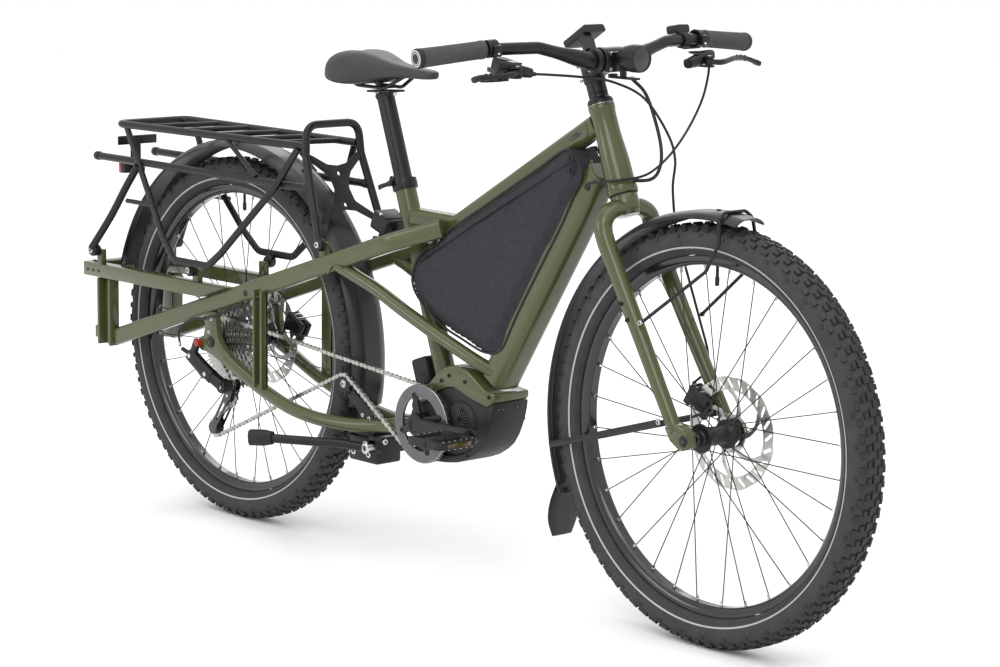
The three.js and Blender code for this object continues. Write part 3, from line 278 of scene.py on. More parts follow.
class Build:
    """One piece: its faces are added in millimetres and turned into metres at the end."""

    def __init__(self):
        self.bm = bmesh.new()
        self.mats = []

    def slot(self, key):
        if key not in self.mats:
            self.mats.append(key)
        return self.mats.index(key)

    def sweep(self, points, section, mat, side=(0, 1, 0), closed=False, scale=None):
        line = [Vector(p) for p in points]
        s = Vector(side)
        n = len(line)
        if abs((line[1] - line[0]).normalized().dot(s)) > 0.95:
            s = Vector((1, 0, 0)) if abs(s.y) > 0.5 else Vector((0, 1, 0))
        rings = []
        for i, here in enumerate(line):
            prev = line[i - 1] if closed or i else here
            nxt = line[(i + 1) % n] if closed or i < n - 1 else here
            din, dout = here - prev, nxt - here
            din = din.normalized() if din.length > 1e-9 else dout.normalized()
            dout = dout.normalized() if dout.length > 1e-9 else din
            t = (din + dout).normalized()
            s = (s - t * s.dot(t)).normalized()
            up = t.cross(s)
            bend = dout - din
            stretch = 1 / max(t.dot(dout), 0.5) - 1
            lean = bend.normalized() if bend.length > 1e-6 else None
            k = scale[i] if scale else 1
            ring = []
            for u, v in section:
                q = s * (u * k) + up * (v * k)
                if lean:
                    q = q + lean * (q.dot(lean) * stretch)
                ring.append(self.bm.verts.new(here + q))
            rings.append(ring)
        return self.skin(rings, mat, closed)

    def skin(self, rings, mat, closed=False, caps=True):
        index = self.slot(mat)
        faces = []
        count = len(rings)
        m = len(rings[0])
        for i in range(count if closed else count - 1):
            a, b = rings[i], rings[(i + 1) % count]
            for j in range(m):
                k = (j + 1) % m
                faces.append(self.bm.faces.new((a[j], a[k], b[k], b[j])))
        if not closed and caps:
            faces.append(self.bm.faces.new(rings[0][::-1]))
            faces.append(self.bm.faces.new(rings[-1]))
        for f in faces:
            f.material_index = index
        return faces

    def tube(self, points, radius, mat, count=16, **kw):
        return self.sweep(points, circle(radius, count), mat, **kw)

    def lathe(self, profile, origin, axis, mat, count=48, closed=False):
        """Turned body; profile is (radius, distance along axis)."""
        z = Vector(axis).normalized()
        x = z.orthogonal().normalized()
        y = z.cross(x)
        o = Vector(origin)
        index = self.slot(mat)
        rings = []
        for r, d in profile:
            if r < 1e-6:
                rings.append([self.bm.verts.new(o + z * d)])
                continue
            rings.append([self.bm.verts.new(o + z * d + x * (r * math.cos(2 * math.pi * i / count))
                                            + y * (r * math.sin(2 * math.pi * i / count)))
                          for i in range(count)])
        pairs = list(zip(rings, rings[1:] + rings[:1])) if closed else list(zip(rings, rings[1:]))
        faces = []
        for a, b in pairs:
            for i in range(count):
                j = (i + 1) % count
                if len(a) == 1 and len(b) == 1:
                    break
                if len(a) == 1:
                    faces.append(self.bm.faces.new((a[0], b[j], b[i])))
                elif len(b) == 1:
                    faces.append(self.bm.faces.new((a[i], a[j], b[0])))
                else:
                    faces.append(self.bm.faces.new((a[i], a[j], b[j], b[i])))
        for f in faces:
            f.material_index = index
        return faces

    def plate(self, outline, low, high, mat, holes=(), frame3=None, bevel=0.0):
        """Flat plate with holes; drawn in x and z across y, or in frame3 = (origin, u, v, normal)."""
        o, u, v, w = frame3 or ((0, 0, 0), (1, 0, 0), (0, 0, 1), (0, 1, 0))
        o, u, v, w = Vector(o), Vector(u), Vector(v), Vector(w)
        index = self.slot(mat)
        edges = []
        loops = []
        for loop in [outline, *holes]:
            verts = [self.bm.verts.new(o + u * p[0] + v * p[1] + w * low) for p in loop]
            loops.append(verts)
            for i, vert in enumerate(verts):
                edges.append(self.bm.edges.new((vert, verts[(i + 1) % len(verts)])))
        made = bmesh.ops.triangle_fill(self.bm, edges=edges, use_beauty=True, use_dissolve=False)
        base = [f for f in made["geom"] if isinstance(f, bmesh.types.BMFace)]
        top = bmesh.ops.duplicate(self.bm, geom=base)
        move = w * (high - low)
        pairs = {a: b for a, b in top["vert_map"].items() if a in set(v for f in base for v in f.verts)}
        for vert in set(v for v in top["geom"] if isinstance(v, bmesh.types.BMVert)):
            vert.co += move
        faces = base + [f for f in top["geom"] if isinstance(f, bmesh.types.BMFace)]
        for verts in loops:
            for i, a in enumerate(verts):
                b = verts[(i + 1) % len(verts)]
                faces.append(self.bm.faces.new((a, b, pairs[b], pairs[a])))
        for f in faces:
            f.material_index = index
        if bevel:
            self.bevel(faces, bevel)
        return faces

    def box(self, center, size, mat, turn=0.0, bevel=0.0, axis="Y", steps=2):
        made = bmesh.ops.create_cube(self.bm, size=1.0)
        rot = Matrix.Rotation(turn, 3, axis)
        index = self.slot(mat)
        for v in made["verts"]:
            v.co = Vector(center) + rot @ Vector((v.co.x * size[0], v.co.y * size[1], v.co.z * size[2]))
        faces = list({f for v in made["verts"] for f in v.link_faces})
        for f in faces:
            f.material_index = index
        if bevel:
            self.bevel(faces, bevel, steps)
        return faces

    def bevel(self, faces, width, steps=2, angle=0.6):
        bmesh.ops.recalc_face_normals(self.bm, faces=faces)
        inside = set(faces)
        edges = [e for e in {e for f in faces for e in f.edges} if len(e.link_faces) == 2
                 and all(f in inside for f in e.link_faces) and e.calc_face_angle(0) > angle]
        bmesh.ops.bevel(self.bm, geom=edges, offset=width, segments=steps, affect="EDGES", profile=0.5,
                        clamp_overlap=True, material=-1)

    def bolt(self, origin, axis, radius=4.0, height=3.0, mat="silver"):
        """Round head with a hexagon socket."""
        self.lathe([(radius * 0.45, height * 0.2), (radius * 0.5, height), (radius * 0.85, height),
                    (radius, height * 0.7), (radius, -1), (0, -1)], origin, axis, mat, 20)
        # the socket floor is black gloss whatever the head's material: painted shade standing in for the
        # depth of the hex hole
        self.lathe([(0, height * 0.25), (radius * 0.47, height * 0.25)], origin, axis, "gloss", 6)

    def done(self, name, body, replaces=(), sharp=32, blend=None):
        bmesh.ops.remove_doubles(self.bm, verts=self.bm.verts, dist=0.0005)
        bmesh.ops.recalc_face_normals(self.bm, faces=self.bm.faces)
        for v in self.bm.verts:
            v.co = at(v.co)
        me = bpy.data.meshes.new(name)
        self.bm.to_mesh(me)
        self.bm.free()
        me.polygons.foreach_set("use_smooth", [True] * len(me.polygons))
        me.set_sharp_from_angle(angle=math.radians(sharp))
        ob = bpy.data.objects.new(name, me)
        bpy.context.collection.objects.link(ob)
        for key in self.mats:
            me.materials.append(M[key])
        if blend:
            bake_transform(ob)
        else:
            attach(ob, body)
        if replaces:
            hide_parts(*([replaces] if isinstance(replaces, str) else replaces))
        return ob


def arc_points(center, radius, start, end, steps, y=0.0):
    return [polar(center, radius, start + (end - start) * i / steps, y) for i in range(steps + 1)]


# ---- wheels --------------------------------------------------------------------------------
def tread_block(b, center, radius, degrees, y, size, lean=0.0):
    """One knob of the tyre: size is (along the rim, across, height)."""
    a = math.radians(degrees)
    out = Vector((math.cos(a), 0, math.sin(a)))
    along = Vector((-math.sin(a), 0, math.cos(a)))
    across = Vector((0, 1, 0))
    out, across = (out * math.cos(lean) + across * math.sin(lean),
                   across * math.cos(lean) - out * math.sin(lean))
    base = Vector(center) + Vector((math.cos(a), 0, math.sin(a))) * radius + Vector((0, y, 0))
    length, width, height = size
    index = b.slot("knob")
    low, top = [], []
    for u, v in ((-1, -1), (1, -1), (1, 1), (-1, 1)):
        low.append(b.bm.verts.new(base + along * (u * length / 2) + across * (v * width / 2) - out * 1.2))
        crown = base + along * (u * length * 0.43) + across * (v * width * 0.43) + out * height
        top.append(b.bm.verts.new(crown))
    for f in [top] + [[low[i], low[(i + 1) % 4], top[(i + 1) % 4], top[i]] for i in range(4)]:
        b.bm.faces.new(f).material_index = index


def tyre(name, center, body):
    b = Build()
    profile = [(319, -18), (321, -22), (326, -27), (333, -31), (342, -33.2), (351, -32.6), (359, -29.4),
               (366, -23.6), (370.2, -15.5), (372.2, -7), (372.6, 0)]
    loop = profile + [(r, -y) for r, y in profile[-2::-1]]
    loop += [(319, 14), (322, 0), (319, -14)]
    b.lathe(loop, center, (0, 1, 0), "rubber", 160, closed=True)
    for side in (-1, 1):
        b.lathe([(331.4, side * 31.0), (332.2, side * 31.7), (333.9, side * 32.2), (334.5, side * 32.0)],
                center, (0, 1, 0), "stripe", 160)
        b.lathe([(322.5, side * 24.6), (324, side * 26.6), (326, side * 27.6)], center, (0, 1, 0), "rubber",
                96)
    count = 84
    for i in range(count):
        a = 360 * i / count
        half = 180 / count
        for side in (-1, 1):
            tread_block(b, center, 372.3, a + (0 if side > 0 else half), side * 5.6, (15, 8.6, 3.2))
            tread_block(b, center, 370.4, a + half * 0.8, side * 16.2, (12, 8, 3.8), side * 0.35)
            tread_block(b, center, 363.8, a, side * 25.6, (11 if i % 2 else 15, 9, 4.0), side * 0.86)
            if i % 2:
                tread_block(b, center, 354.4, a + half, side * 31.6, (9, 7, 1.2), side * 1.3)
    b.done(f"{name}_tyre_skin", body, f"{name}_tyre", 28)


def rim(name, center, body):
    b = Build()
    half = [(301, -8), (302.5, -10.5), (309, -15.5), (316, -17), (317.9, -16.6), (318, -14.4), (314, -13.6),
            (311, -11)]
    b.lathe(half + [(r, -y) for r, y in half[::-1]], center, (0, 1, 0), "gloss", 128, closed=True)
    b.lathe([(310.6, -12), (310, 0), (310.6, 12)], center, (0, 1, 0), "black", 64)
    for i in range(32):
        a = (i + 0.5) * 11.25
        out = Vector(polar((0, 0, 0), 1, a))
        b.lathe([(0.1, -9.5), (1.9, -9.5), (2.2, -4), (3.0, -3.2), (3.0, 1)], polar(center, 301, a), out,
                "silver", 8)
    stem = Vector(polar((0, 0, 0), 1, 90))
    b.lathe([(3, 2), (3, -20), (4, -21), (4, -34), (2.4, -36), (0.1, -36)], polar(center, 301, 90), stem,
            "black", 12)
    b.done(f"{name}_rim_skin", body, f"{name}_rim", 28)


def spokes(name, center, body, flange_right, flange_left, flange_r):
    b = Build()
    for i in range(32):
        rim_angle = (i + 0.5) * 11.25
        lean = (1 if i % 4 < 2 else -1) * 42
        left = i % 2 == 0
        y = (flange_left if left else flange_right) + (1.2 if lean > 0 else -1.2)
        start = polar(center, flange_r, rim_angle + lean, y)
        end = polar(center, 300, rim_angle, 1.5 if left else -1.5)
        b.tube([start, end], 1.05, "black", 6)
        knob = polar(center, flange_r, rim_angle + lean, y)
        b.lathe([(0, 2.2), (1.9, 1.6), (1.9, -1.6), (0, -2.2)], knob, (0, 1, 0), "black", 8)
    b.done(f"{name}_spoke_set", body, f"{name}_spokes", 40)


def hub(name, center, body, profile):
    b = Build()
    b.lathe(profile, center, (0, 1, 0), "black", 56, closed=True)
    ends = [p[1] for p in profile]
    for side in (-1, 1):
        end = min(ends) if side < 0 else max(ends)
        b.lathe([(6.6, end), (11.4, end), (12.3, end - side * 1.2)], center, (0, 1, 0), "silver", 40)
    for k in (-0.4, -0.2, 0, 0.2, 0.4):
        b.lathe([(16.2, k * 22 - 0.6), (16.7, k * 22), (16.2, k * 22 + 0.6)], center, (0, 1, 0), "grey", 40)
    b.done(f"{name}_hub_skin", body, f"{name}_hub", 30)


def rotor(name, center, body, y):
    """Brake disc: a waved ring with slanted slots, six swept arms and six bolts."""
    b = Build()
    holes = []
    for i in range(24):
        a = 15 * i
        p, q = polar((0, 0, 0), 82.5, a), polar((0, 0, 0), 95, a + 6)
        holes.append(capsule((p[0], p[2]), (q[0], q[2]), 2.9))
    outer = []
    for i in range(144):
        r = 100.4 - 1.0 * math.cos(math.radians(i * 2.5 * 12))
        outer.append((r * math.cos(math.radians(2.5 * i)), r * math.sin(math.radians(2.5 * i))))
    plane = (center, (1, 0, 0), (0, 0, 1), (0, 1, 0))
    b.plate(outer, y - 0.9, y + 0.9, "steel", [ring(77, 72), *holes], plane)
    for i in range(6):
        line = [polar(center, 32 + 47 * k / 8, i * 60 + 34 * (k / 8) ** 1.3, y) for k in range(9)]
        b.sweep(line, rrect(1.8, 9.5, 0.4, 1), "steel", scale=[1.2 - 0.45 * math.sin(math.pi * k / 8)
                for k in range(9)])
    b.lathe([(24, y - 1.1), (35, y - 1.1), (35, y + 1.1), (24, y + 1.1)], center, (0, 1, 0), "steel", 48,
            closed=True)
    for i in range(6):
        b.bolt(polar(center, 29.5, i * 60 + 20, y + 1.1), (0, 1, 0), 3.4, 2.2, "black")
    b.done(f"{name}_disc", body, f"{name}_rotor", 35)


FRONT_HUB = [(6.3, -52), (12, -52), (12.4, -50), (12.6, -38), (15, -35), (25, -34.4), (26, -33.6),
             (26, -30.6), (24, -29.4), (17, -24), (15.4, -18), (15.4, 18), (17, 24), (24, 29.4), (26, 30.6),
             (26, 33.6), (25, 34.4), (21.4, 36), (21.4, 43.2), (12.6, 46.4), (12, 52), (6.3, 52)]
REAR_HUB = [(6.3, -24.6), (27.5, -24.6), (28, -24), (28, -21), (26, -19.6), (19, -14), (17, -8), (17, 18),
            (19, 24), (26, 29.6), (28, 30.8), (28, 33.6), (27, 34.2), (21.6, 36), (21.6, 57.2),
            (13.4, 60.4), (13, 73), (6.3, 73)]
for wheel, axle, hub_profile, flanges, disc_y in (
        ("front", FRONT_AXLE, FRONT_HUB, (-32.4, 32.4, 24.5), 44.7),
        ("rear", REAR_AXLE, REAR_HUB, (-22, 32.5, 26.5), 58.6)):
    tyre(wheel, axle, f"{wheel}_wheel")
    rim(wheel, axle, f"{wheel}_wheel")
    spokes(wheel, axle, f"{wheel}_wheel", *flanges)
    hub(wheel, axle, f"{wheel}_wheel", hub_profile)
    rotor(wheel, axle, f"{wheel}_wheel", disc_y)


# ---- main frame tubes ----------------------------------------------------------------------
HEAD_BOTTOM = Vector((1104, 0, 779))
HEAD_DIR = Vector((-0.3683, 0, 0.9297))
SEAT_TOP = Vector((504, 0, 746))
SEAT_DIR = Vector((0.333, 0, -0.943))
BB = (628, 0, 297)


def beam_z(x):
    return 456 + 0.3316 * x


def weld(b, points, radius=2.2):
    """Bead of weld along a line."""
    line = spline(points, 10)
    b.tube(line, radius, "paint", 8, scale=[1 + 0.16 * math.sin(i * 1.9) for i in range(len(line))])


def ring_points(origin, axis, radius, start=0, end=360, steps=24):
    z = Vector(axis).normalized()
    x = z.orthogonal().normalized()
    y = z.cross(x)
    turns = [math.radians(start + (end - start) * i / steps) for i in range(steps + 1)]
    return [Vector(origin) + x * (radius * math.cos(a)) + y * (radius * math.sin(a)) for a in turns]


def head_tube():
    b = Build()
    b.lathe([(19, 0), (27, 0), (28, 1.4), (28, 9), (26.8, 15), (26.4, 24), (26.2, 60), (25, 78),
             (23.4, 100), (22.8, 112), (22.8, 148), (23.6, 153), (24.4, 157), (24.4, 164.6), (23.4, 166),
             (19, 166)], HEAD_BOTTOM, HEAD_DIR, "paint", 72, closed=True)
    b.lathe([(18.6, 165.2), (24, 165.2), (24, 165.9), (18.6, 165.9)], HEAD_BOTTOM, HEAD_DIR, "silver", 48)
    weld(b, ring_points(HEAD_BOTTOM + HEAD_DIR * 9.6, HEAD_DIR, 27.4, steps=40), 0.8)
    b.done("head_tube_skin", "frame", "head_tube", 40)


def top_tube():
    b = Build()
    line = rounded([(1040, 0, 899), (667, 0, 679), (541, 0, 680.6)], 34, 8)
    b.sweep(line, rrect(40, 38, 13, 6), "paint")
    b.box((1000, -20, 876), (27, 1.6, 9), "gloss", -0.533, 0.5)
    b.bolt((985, -20, 867), (0, -1, 0), 1.8, 0.8, "black")
    b.plate([(556, 662), (596, 662), (640, 664), (600, 640), (556, 628)], -4, 4, "paint", bevel=1.5)
    weld(b, [(1022, -18, 901), (1030, -20, 888), (1026, -18, 876), (1012, -10, 869)])
    weld(b, [(544, -14, 698), (541, -19, 688), (541, -19, 673), (545, -14, 663)])
    b.done("top_tube_skin", "frame", "top_tube", 40)


def down_tube():
    b = Build()
    direction = Vector((-0.5358, 0, -0.8443))
    top = Vector((1053, 0, 821))
    b.sweep([top + direction * d for d in (6, 24, 44, 70, 100, 498)], rrect(65, 60, 20, 7), "paint",
            scale=[0.74, 0.8, 0.88, 0.96, 1, 1])
    port = top + direction * 40 + Vector((8, -28, 0))
    b.lathe([(0, 2.2), (3.2, 2.2), (5.6, 1.4), (7.4, -1)], port, (0, -1, 0), "plastic", 20)
    weld(b, [(1077, -14, 802), (1070, -26, 799), (1056, -30, 816), (1045, -24, 836)])
    b.done("down_tube_skin", "frame", "down_tube", 40)


def seat_tube():
    b = Build()
    b.lathe([(17.6, 0), (20.5, 0), (20.5, 386), (17.6, 386)], SEAT_TOP, SEAT_DIR, "paint", 56, closed=True)
    b.lathe([(20.6, -5), (24.4, -4.4), (24.8, 0), (24.8, 13), (24.2, 15.4), (20.6, 16)], SEAT_TOP, SEAT_DIR,
            "black", 56)
    b.lathe([(17.7, -5), (20.6, -5)], SEAT_TOP, SEAT_DIR, "black", 48)
    b.box((SEAT_TOP.x - 27, -1, SEAT_TOP.z + 2), (13, 19, 13), "black", 0.34, 2)
    b.box((463, 0, 661), (50, 62, 33), "plastic", 0.34, 6, steps=3)
    b.box((463, 0, 679), (40, 54, 3), "plastic", 0.34, 1.2)
    b.sweep([(468, 0, 652), (530, 0, 664)], rrect(26, 15, 4, 3), "black")
    for y in (-24, 24):
        b.bolt((463, y, 680), (0.33, 0, 0.94), 3.2, 2.4)
    b.box((582, -4, 388), (44, 40, 54), "plastic", -0.34, 6, steps=3)
    b.box((560, -4, 384), (3, 30, 36), "gloss", -0.34, 1.2)
    b.done("seat_tube_skin", "frame", "seat_tube", 40)


def motor():
    b = Build()
    outer = [(606, 352), (622, 367), (640, 384), (652, 396), (664, 404), (677, 412), (690, 417), (706, 419),
             (722, 418), (737, 414), (752, 407), (768, 396), (790, 383), (804, 381), (818, 379), (818, 370),
             (815, 362)]
    inner = [(796, 350), (770, 356), (745, 362), (722, 370), (700, 376), (680, 373), (662, 366), (645, 356),
             (628, 346)]
    b.plate(outer + inner, -44, 44, "paint", bevel=3.5)
    for x, z in ((690, 398), (735, 392), (668, 385), (803, 372)):
        b.bolt((x, -44, z), (0, -1, 0), 4, 2.6, "black")
        b.bolt((x, 44, z), (0, 1, 0), 4, 2.6, "black")
    b.done("motor_shell_skin", "frame", "motor_shell", 35)
    c = Build()
    body = [(628, 345), (645, 356), (662, 365.6), (680, 373), (700, 375.6), (722, 369), (745, 361.6),
            (770, 355), (795, 349.6), (800, 336), (794, 314), (783, 296), (768, 278), (752, 264),
            (730, 253), (706, 246), (680, 243), (650, 243), (625, 245), (604, 250), (588, 259), (578, 272),
            (573, 286), (572, 302), (578, 318), (588, 330)]
    c.plate(body, -40, 40, "plastic", bevel=3)
    for side in (-1, 1):
        c.lathe([(0, 49), (20, 49), (21, 48), (36, 48), (38, 47.4), (42, 43.5), (44, 39)], (636, 0, 299),
                (0, side, 0), "plastic", 56)
        c.lathe([(14, 49.4), (19.4, 49.4), (20, 48.4)], (628, 0, 297), (0, side, 0), "black", 40)
    c.lathe([(0, 50), (12, 50), (13, 49), (33, 48.6), (36, 47.4), (41, 43), (42, 39)], (722, 0, 312),
            (0, -1, 0), "plastic", 56)
    c.lathe([(0, 42), (30, 42), (34, 40)], (722, 0, 312), (0, 1, 0), "plastic", 56)
    for k in range(7):
        a = 200 + 18 * k
        c.bolt(polar((722, 0, 312), 37, a, -46.6), (0, -1, 0), 2.6, 1.6, "black")
    for k in range(9):
        a = math.radians(-28 + 13 * k)
        c.box((722 + 20 * math.cos(a), -49.6, 312 + 20 * math.sin(a)), (26, 3, 2.2), "gloss", -a, 0.6)
    c.done("motor_unit_skin", "frame", "motor_unit", 35)
    d = Build()
    skid = [(816.3, 361.7), (814, 345), (809, 325), (802, 307), (794, 290), (781, 271), (764, 257),
            (740, 243), (712, 233), (680, 228), (650, 226), (625, 227), (600, 232), (585, 243), (594, 247),
            (604, 249.7), (625, 245), (650, 242.7), (680, 242.7), (706, 245.7), (730, 252.6),
            (752.2, 263.7), (768, 277.6), (783.3, 295.8), (794, 314), (800.3, 336), (796.3, 349.6)]
    d.plate(skid, -44, 44, "plastic", bevel=2.5)
    for x, z in ((803, 322), (742, 250), (625, 235)):
        for side in (-1, 1):
            d.bolt((x, side * 44, z), (0, side, 0), 3.6, 2.2, "black")
    for k in range(4):
        for y in (-30, -18, 18, 30):
            d.lathe([(0, 0.4), (3.4, 0.4), (4.4, 0.9), (5, -1)],
                    (813.6 - 4.2 * k - 0.9 * k * k, y, 346 - 15 * k), (1, 0, -0.3 - 0.1 * k), "gloss", 14)
    d.done("skid_plate_skin", "frame", "skid_plate", 35)


STAY = [(395, 75.5, 579), (436, 73, 566), (500, 66, 543), (575, 57, 508), (660, 45, 470), (745, 34, 436),
        (782, 25, 421), (812, 14, 408)]
CHAINSTAY = [(44, 80, 348), (90, 80, 327), (164, 80, 299), (250, 79, 275), (330, 72, 264), (400, 58, 262),
             (455, 44, 266), (505, 35, 272), (571, 32, 284)]


def side_frame(side, name):
    b = Build()
    line = rounded(flip([(-345, 75.5, beam_z(-345)), (545, 75.5, beam_z(545)), (655, 32, beam_z(655))],
                        side), 90, 8)
    b.sweep(line, rrect(25, 36, 8, 5), "paint")
    b.tube(spline(flip(STAY, side), 4), 13, "paint", 28)
    x0, z0 = -370, 393.5
    b.box((x0 - 20, 84 * side, z0), (8, 24, 143), "paint", 0, 1.5)
    b.box((x0 + 2, 76 * side, z0), (40, 8, 143), "paint", 0, 1.5)
    b.box((x0 + 20, 84 * side, z0), (8, 24, 143), "paint", 0, 1.5)
    for dz in (-52, -20, 14, 46):
        b.bolt((x0 + 4, 80.4 * side, z0 + dz), (0, side, 0), 3.4, 1.2, "black")
    b.box((-398, 84 * side, 348), (14, 20, 26), "paint", 0, 2)
    for dx in (-12, 12):
        b.box((166 + dx, 89 * side, 404), (6, 17, 198), "paint", 0, 1.5)
    b.box((166, 83.6 * side, 404), (30, 6, 198), "paint", 0, 1.2)
    for dz in (330, 372, 414, 452):
        b.bolt((166, 86.8 * side, dz), (0, side, 0), 3.4, 1.2, "black")
    b.box((345, 68 * side, 597), (20, 14, 44), "paint", 0, 2.5)
    weld(b, flip([(380, 89, 560), (398, 90, 580), (424, 88, 577)], side), 1.8)
    weld(b, flip([(150, 88, 486), (166, 92, 491), (182, 88, 497)], side), 1.8)
    weld(b, flip([(-392, 74, 322), (-370, 74, 324), (-348, 74, 338)], side), 1.6)
    b.lathe([(0, 2), (5, 2), (6.4, 0.6), (6.6, -1)], (116, 88 * side, beam_z(116) - 4), (0, side, 0),
            "plastic", 18)
    b.done(f"beam_{name}_skin", "frame", f"beam_{name}", 40)


def chainstay(side, name):
    b = Build()
    b.tube(spline(flip(CHAINSTAY, side), 5), 13.5, "paint", 28)
    outline = [(-20, 429), (-8, 437), (14, 440), (18, 420), (20, 404), (24, 390), (30, 378), (44, 366),
               (62, 356), (58, 342), (52, 330), (36, 336), (22, 342), (8, 347), (-6, 352), (-20, 354),
               (-32, 354), (-47, 362), (-44, 378), (-34, 384), (-26, 386), (-24, 394), (-22, 404)]
    low, high = sorted((74 * side, 88 * side))
    b.plate(outline, low, high, "paint", bevel=2.5)
    if side > 0:
        b.lathe([(0, -81), (6, -81), (6, 80), (0, 80)], REAR_AXLE, (0, 1, 0), "black", 28)
    b.lathe([(0, 4), (8, 4), (11, 2.4), (12, -2)], (0, 88 * side, 376), (0, side, 0), "black", 32)
    # flat black gloss hexagon on the axle cap: painted shade standing in for the hex socket hole
    b.lathe([(0, 4.6), (4.4, 4.6)], (0, 88 * side, 376), (0, side, 0), "gloss", 6)
    for x, z in ((4, 424), (-4, 396)):
        b.bolt((x, 88 * side, z), (0, side, 0), 4.2, 3, "silver")
    b.done(f"chainstay_{name}_skin", "frame", f"chainstay_{name}", 40)


def deck():
    b = Build()
    b.box((-426, 0, 481), (30, 170, 30), "paint", 0, 3)
    front_low = (466 - 475) / 0.3316
    for side in (-1, 1):
        low, high = sorted((72 * side, 98 * side))
        b.plate([(-441, 466.4), (-441, 496), (62, 496), (front_low, 466.4)], low, high, "paint", bevel=2.5)
        for x in (-424, -404, -384):
            b.bolt((x, 98 * side, 480), (0, side, 0), 3.4, 0.6, "black")
        b.lathe([(0, 0.8), (7, 0.8), (9, 0.2)], (-441, 85 * side, 481), (-1, 0, 0), "gloss", 24)
        b.box((-380, side * 92, 510), (18, 13, 36), "paint", 0, 2)
        b.box((-47, side * 86, 506), (20, 13, 34), "paint", 0, 2)
        weld(b, flip([(-411, 72, 497), (-425, 76, 497), (-438, 72, 497)], side), 1.4)
    b.done("deck_frame_skin", "frame", "deck_frame", 35)


head_tube()
top_tube()
down_tube()
seat_tube()
motor()
both(side_frame)
both(chainstay)
deck()


# ---- rear rack and tail light --------------------------------------------------------------
def rack_foot(b, place, side, length):
    """Rubber foot with its bolt, pointing outwards."""
    x, y, z = place
    b.lathe([(0, 0), (12, 0), (13, 2), (13, length - 2), (11.5, length), (0, length)], (x, side * y, z),
            (0, side, 0), "black", 32)
    b.bolt((x, side * (y + length), z), (0, side, 0), 6.4, 3)


def rack_top():
    b = Build()
    rim_line = rounded([(283, -66, 800), (-322, -89, 800), (-322, 89, 800), (283, 66, 800)], 26, 8)
    b.tube(rim_line, 8, "black", 20, side=(0, 0, 1))
    b.tube(rounded([(348, -84, 616), (289, -70, 780), (284, -66, 842), (284, 66, 842), (289, 70, 780),
                    (348, 84, 616)], 36, 8), 8, "black", 20, side=(1, 0, 0))
    for x in (-215, -105, 5, 115, 210):
        y = 88 - (x + 322) * 0.0365
        b.tube([(x - 18, -y, 800), (x + 18, y, 800)], 5.5, "black", 16, side=(0, 0, 1))
    outline = [(-66, 0), (-64, -14), (-24, 10), (0, 14), (24, 10), (64, -14), (66, 0), (24, 34), (18, 60),
               (26, 88), (69, 118), (66, 132), (24, 108), (0, 104), (-24, 108), (-66, 132), (-69, 118),
               (-26, 88), (-18, 60), (-24, 34)]
    smooth = [(p.x, p.y) for p in rounded([(x, -y, 0) for x, y in outline + outline[:1]], 12, 3)[:-1]]
    holes = [ring(4, 16, (0, -d)) for d in (30, 94)]
    b.plate(smooth, 0, 4, "black", holes, ((292, 0, 772), (0, 1, 0), (-0.339, 0, 0.941), (0.941, 0, 0.339)),
            0.8)
    for side in (-1, 1):
        rack_foot(b, (348, 75.5, 614), side, 14)
    b.done("rack_top_tubes", "frame", "rack_deck", 40)


def rack_side(side, name):
    b = Build()
    b.tube(flip([(-416, 75, 724), (304, 75, 719)], side), 8, "black", 20, side=(0, 0, 1))
    for x, z, d in ((-416, 724, -1), (304, 719, 1)):
        b.lathe([(0, 5), (6, 4.4), (9, 2), (9.4, 0), (9.4, -9), (8.4, -10)], (x, 75 * side, z), (d, 0, 0),
                "plastic", 28)
    loop = rounded(flip([(-290, 88, 797), (-250, 84, 716), (-141, 104, 578), (-96, 110, 537),
                         (20, 110, 537), (60, 108, 566), (214, 90, 713), (266, 72, 794)], side), 30, 5)
    b.sweep(loop, rrect(7, 15, 2, 2), "black")
    b.tube(spline(flip([(-383, 115, 532), (-330, 101, 605), (-290, 92, 667), (-256, 84, 716)], side), 5), 8,
           "black", 20)
    b.tube(flip([(-280, 95, 641), (-180, 97, 641)], side), 5, "black", 14, side=(0, 0, 1))
    b.tube(flip([(44, 79, 796), (136, 76, 728)], side), 5, "black", 14)
    rack_foot(b, (-383, 99.5, 527), side, 17)
    rack_foot(b, (-47, 93.5, 521), side, 16)
    b.box((-47, side * 108, 526), (16, 8, 20), "black", 0, 1.5)
    b.done(f"rack_side_{name}_tubes", "frame", f"rack_side_{name}", 40)


def tail_light():
    b = Build()
    b.box((-376, 0, 757), (5, 100, 19), "black", 0, 2)
    b.box((-382, 0, 725), (4, 26, 60), "black", 0, 1.5)
    b.box((-392, 0, 696), (16, 54, 22), "plastic", 0, 3, steps=3)
    b.box((-402, 0, 696), (12, 56, 24), "red", 0, 4, steps=3)
    for y in range(-20, 21, 8):
        b.box((-407.6, y, 696), (1.2, 1, 15), "red", 0, 0.3)
    for side in (-1, 1):
        b.bolt((-379, side * 40, 757), (-1, 0, 0), 4, 3)
    b.done("tail_lamp", "frame", "taillight", 35)


rack_top()
both(rack_side)
tail_light()


# ---- mudguards -----------------------------------------------------------------------------
def guard_section(half, drop, thick, sign):
    """Crowned section with rolled edges and two low ribs."""
    top = []
    for i in range(25):
        u = -1 + i / 12
        rib = 0.9 * math.exp(-((abs(u) - 0.45) / 0.06) ** 2)
        top.append((half * u, -drop * abs(u) ** 3.2 + rib))
    low = [(x * (1 - thick / half), z - thick) for x, z in top[::-1]]
    return [(x, sign * z) for x, z in top + low]


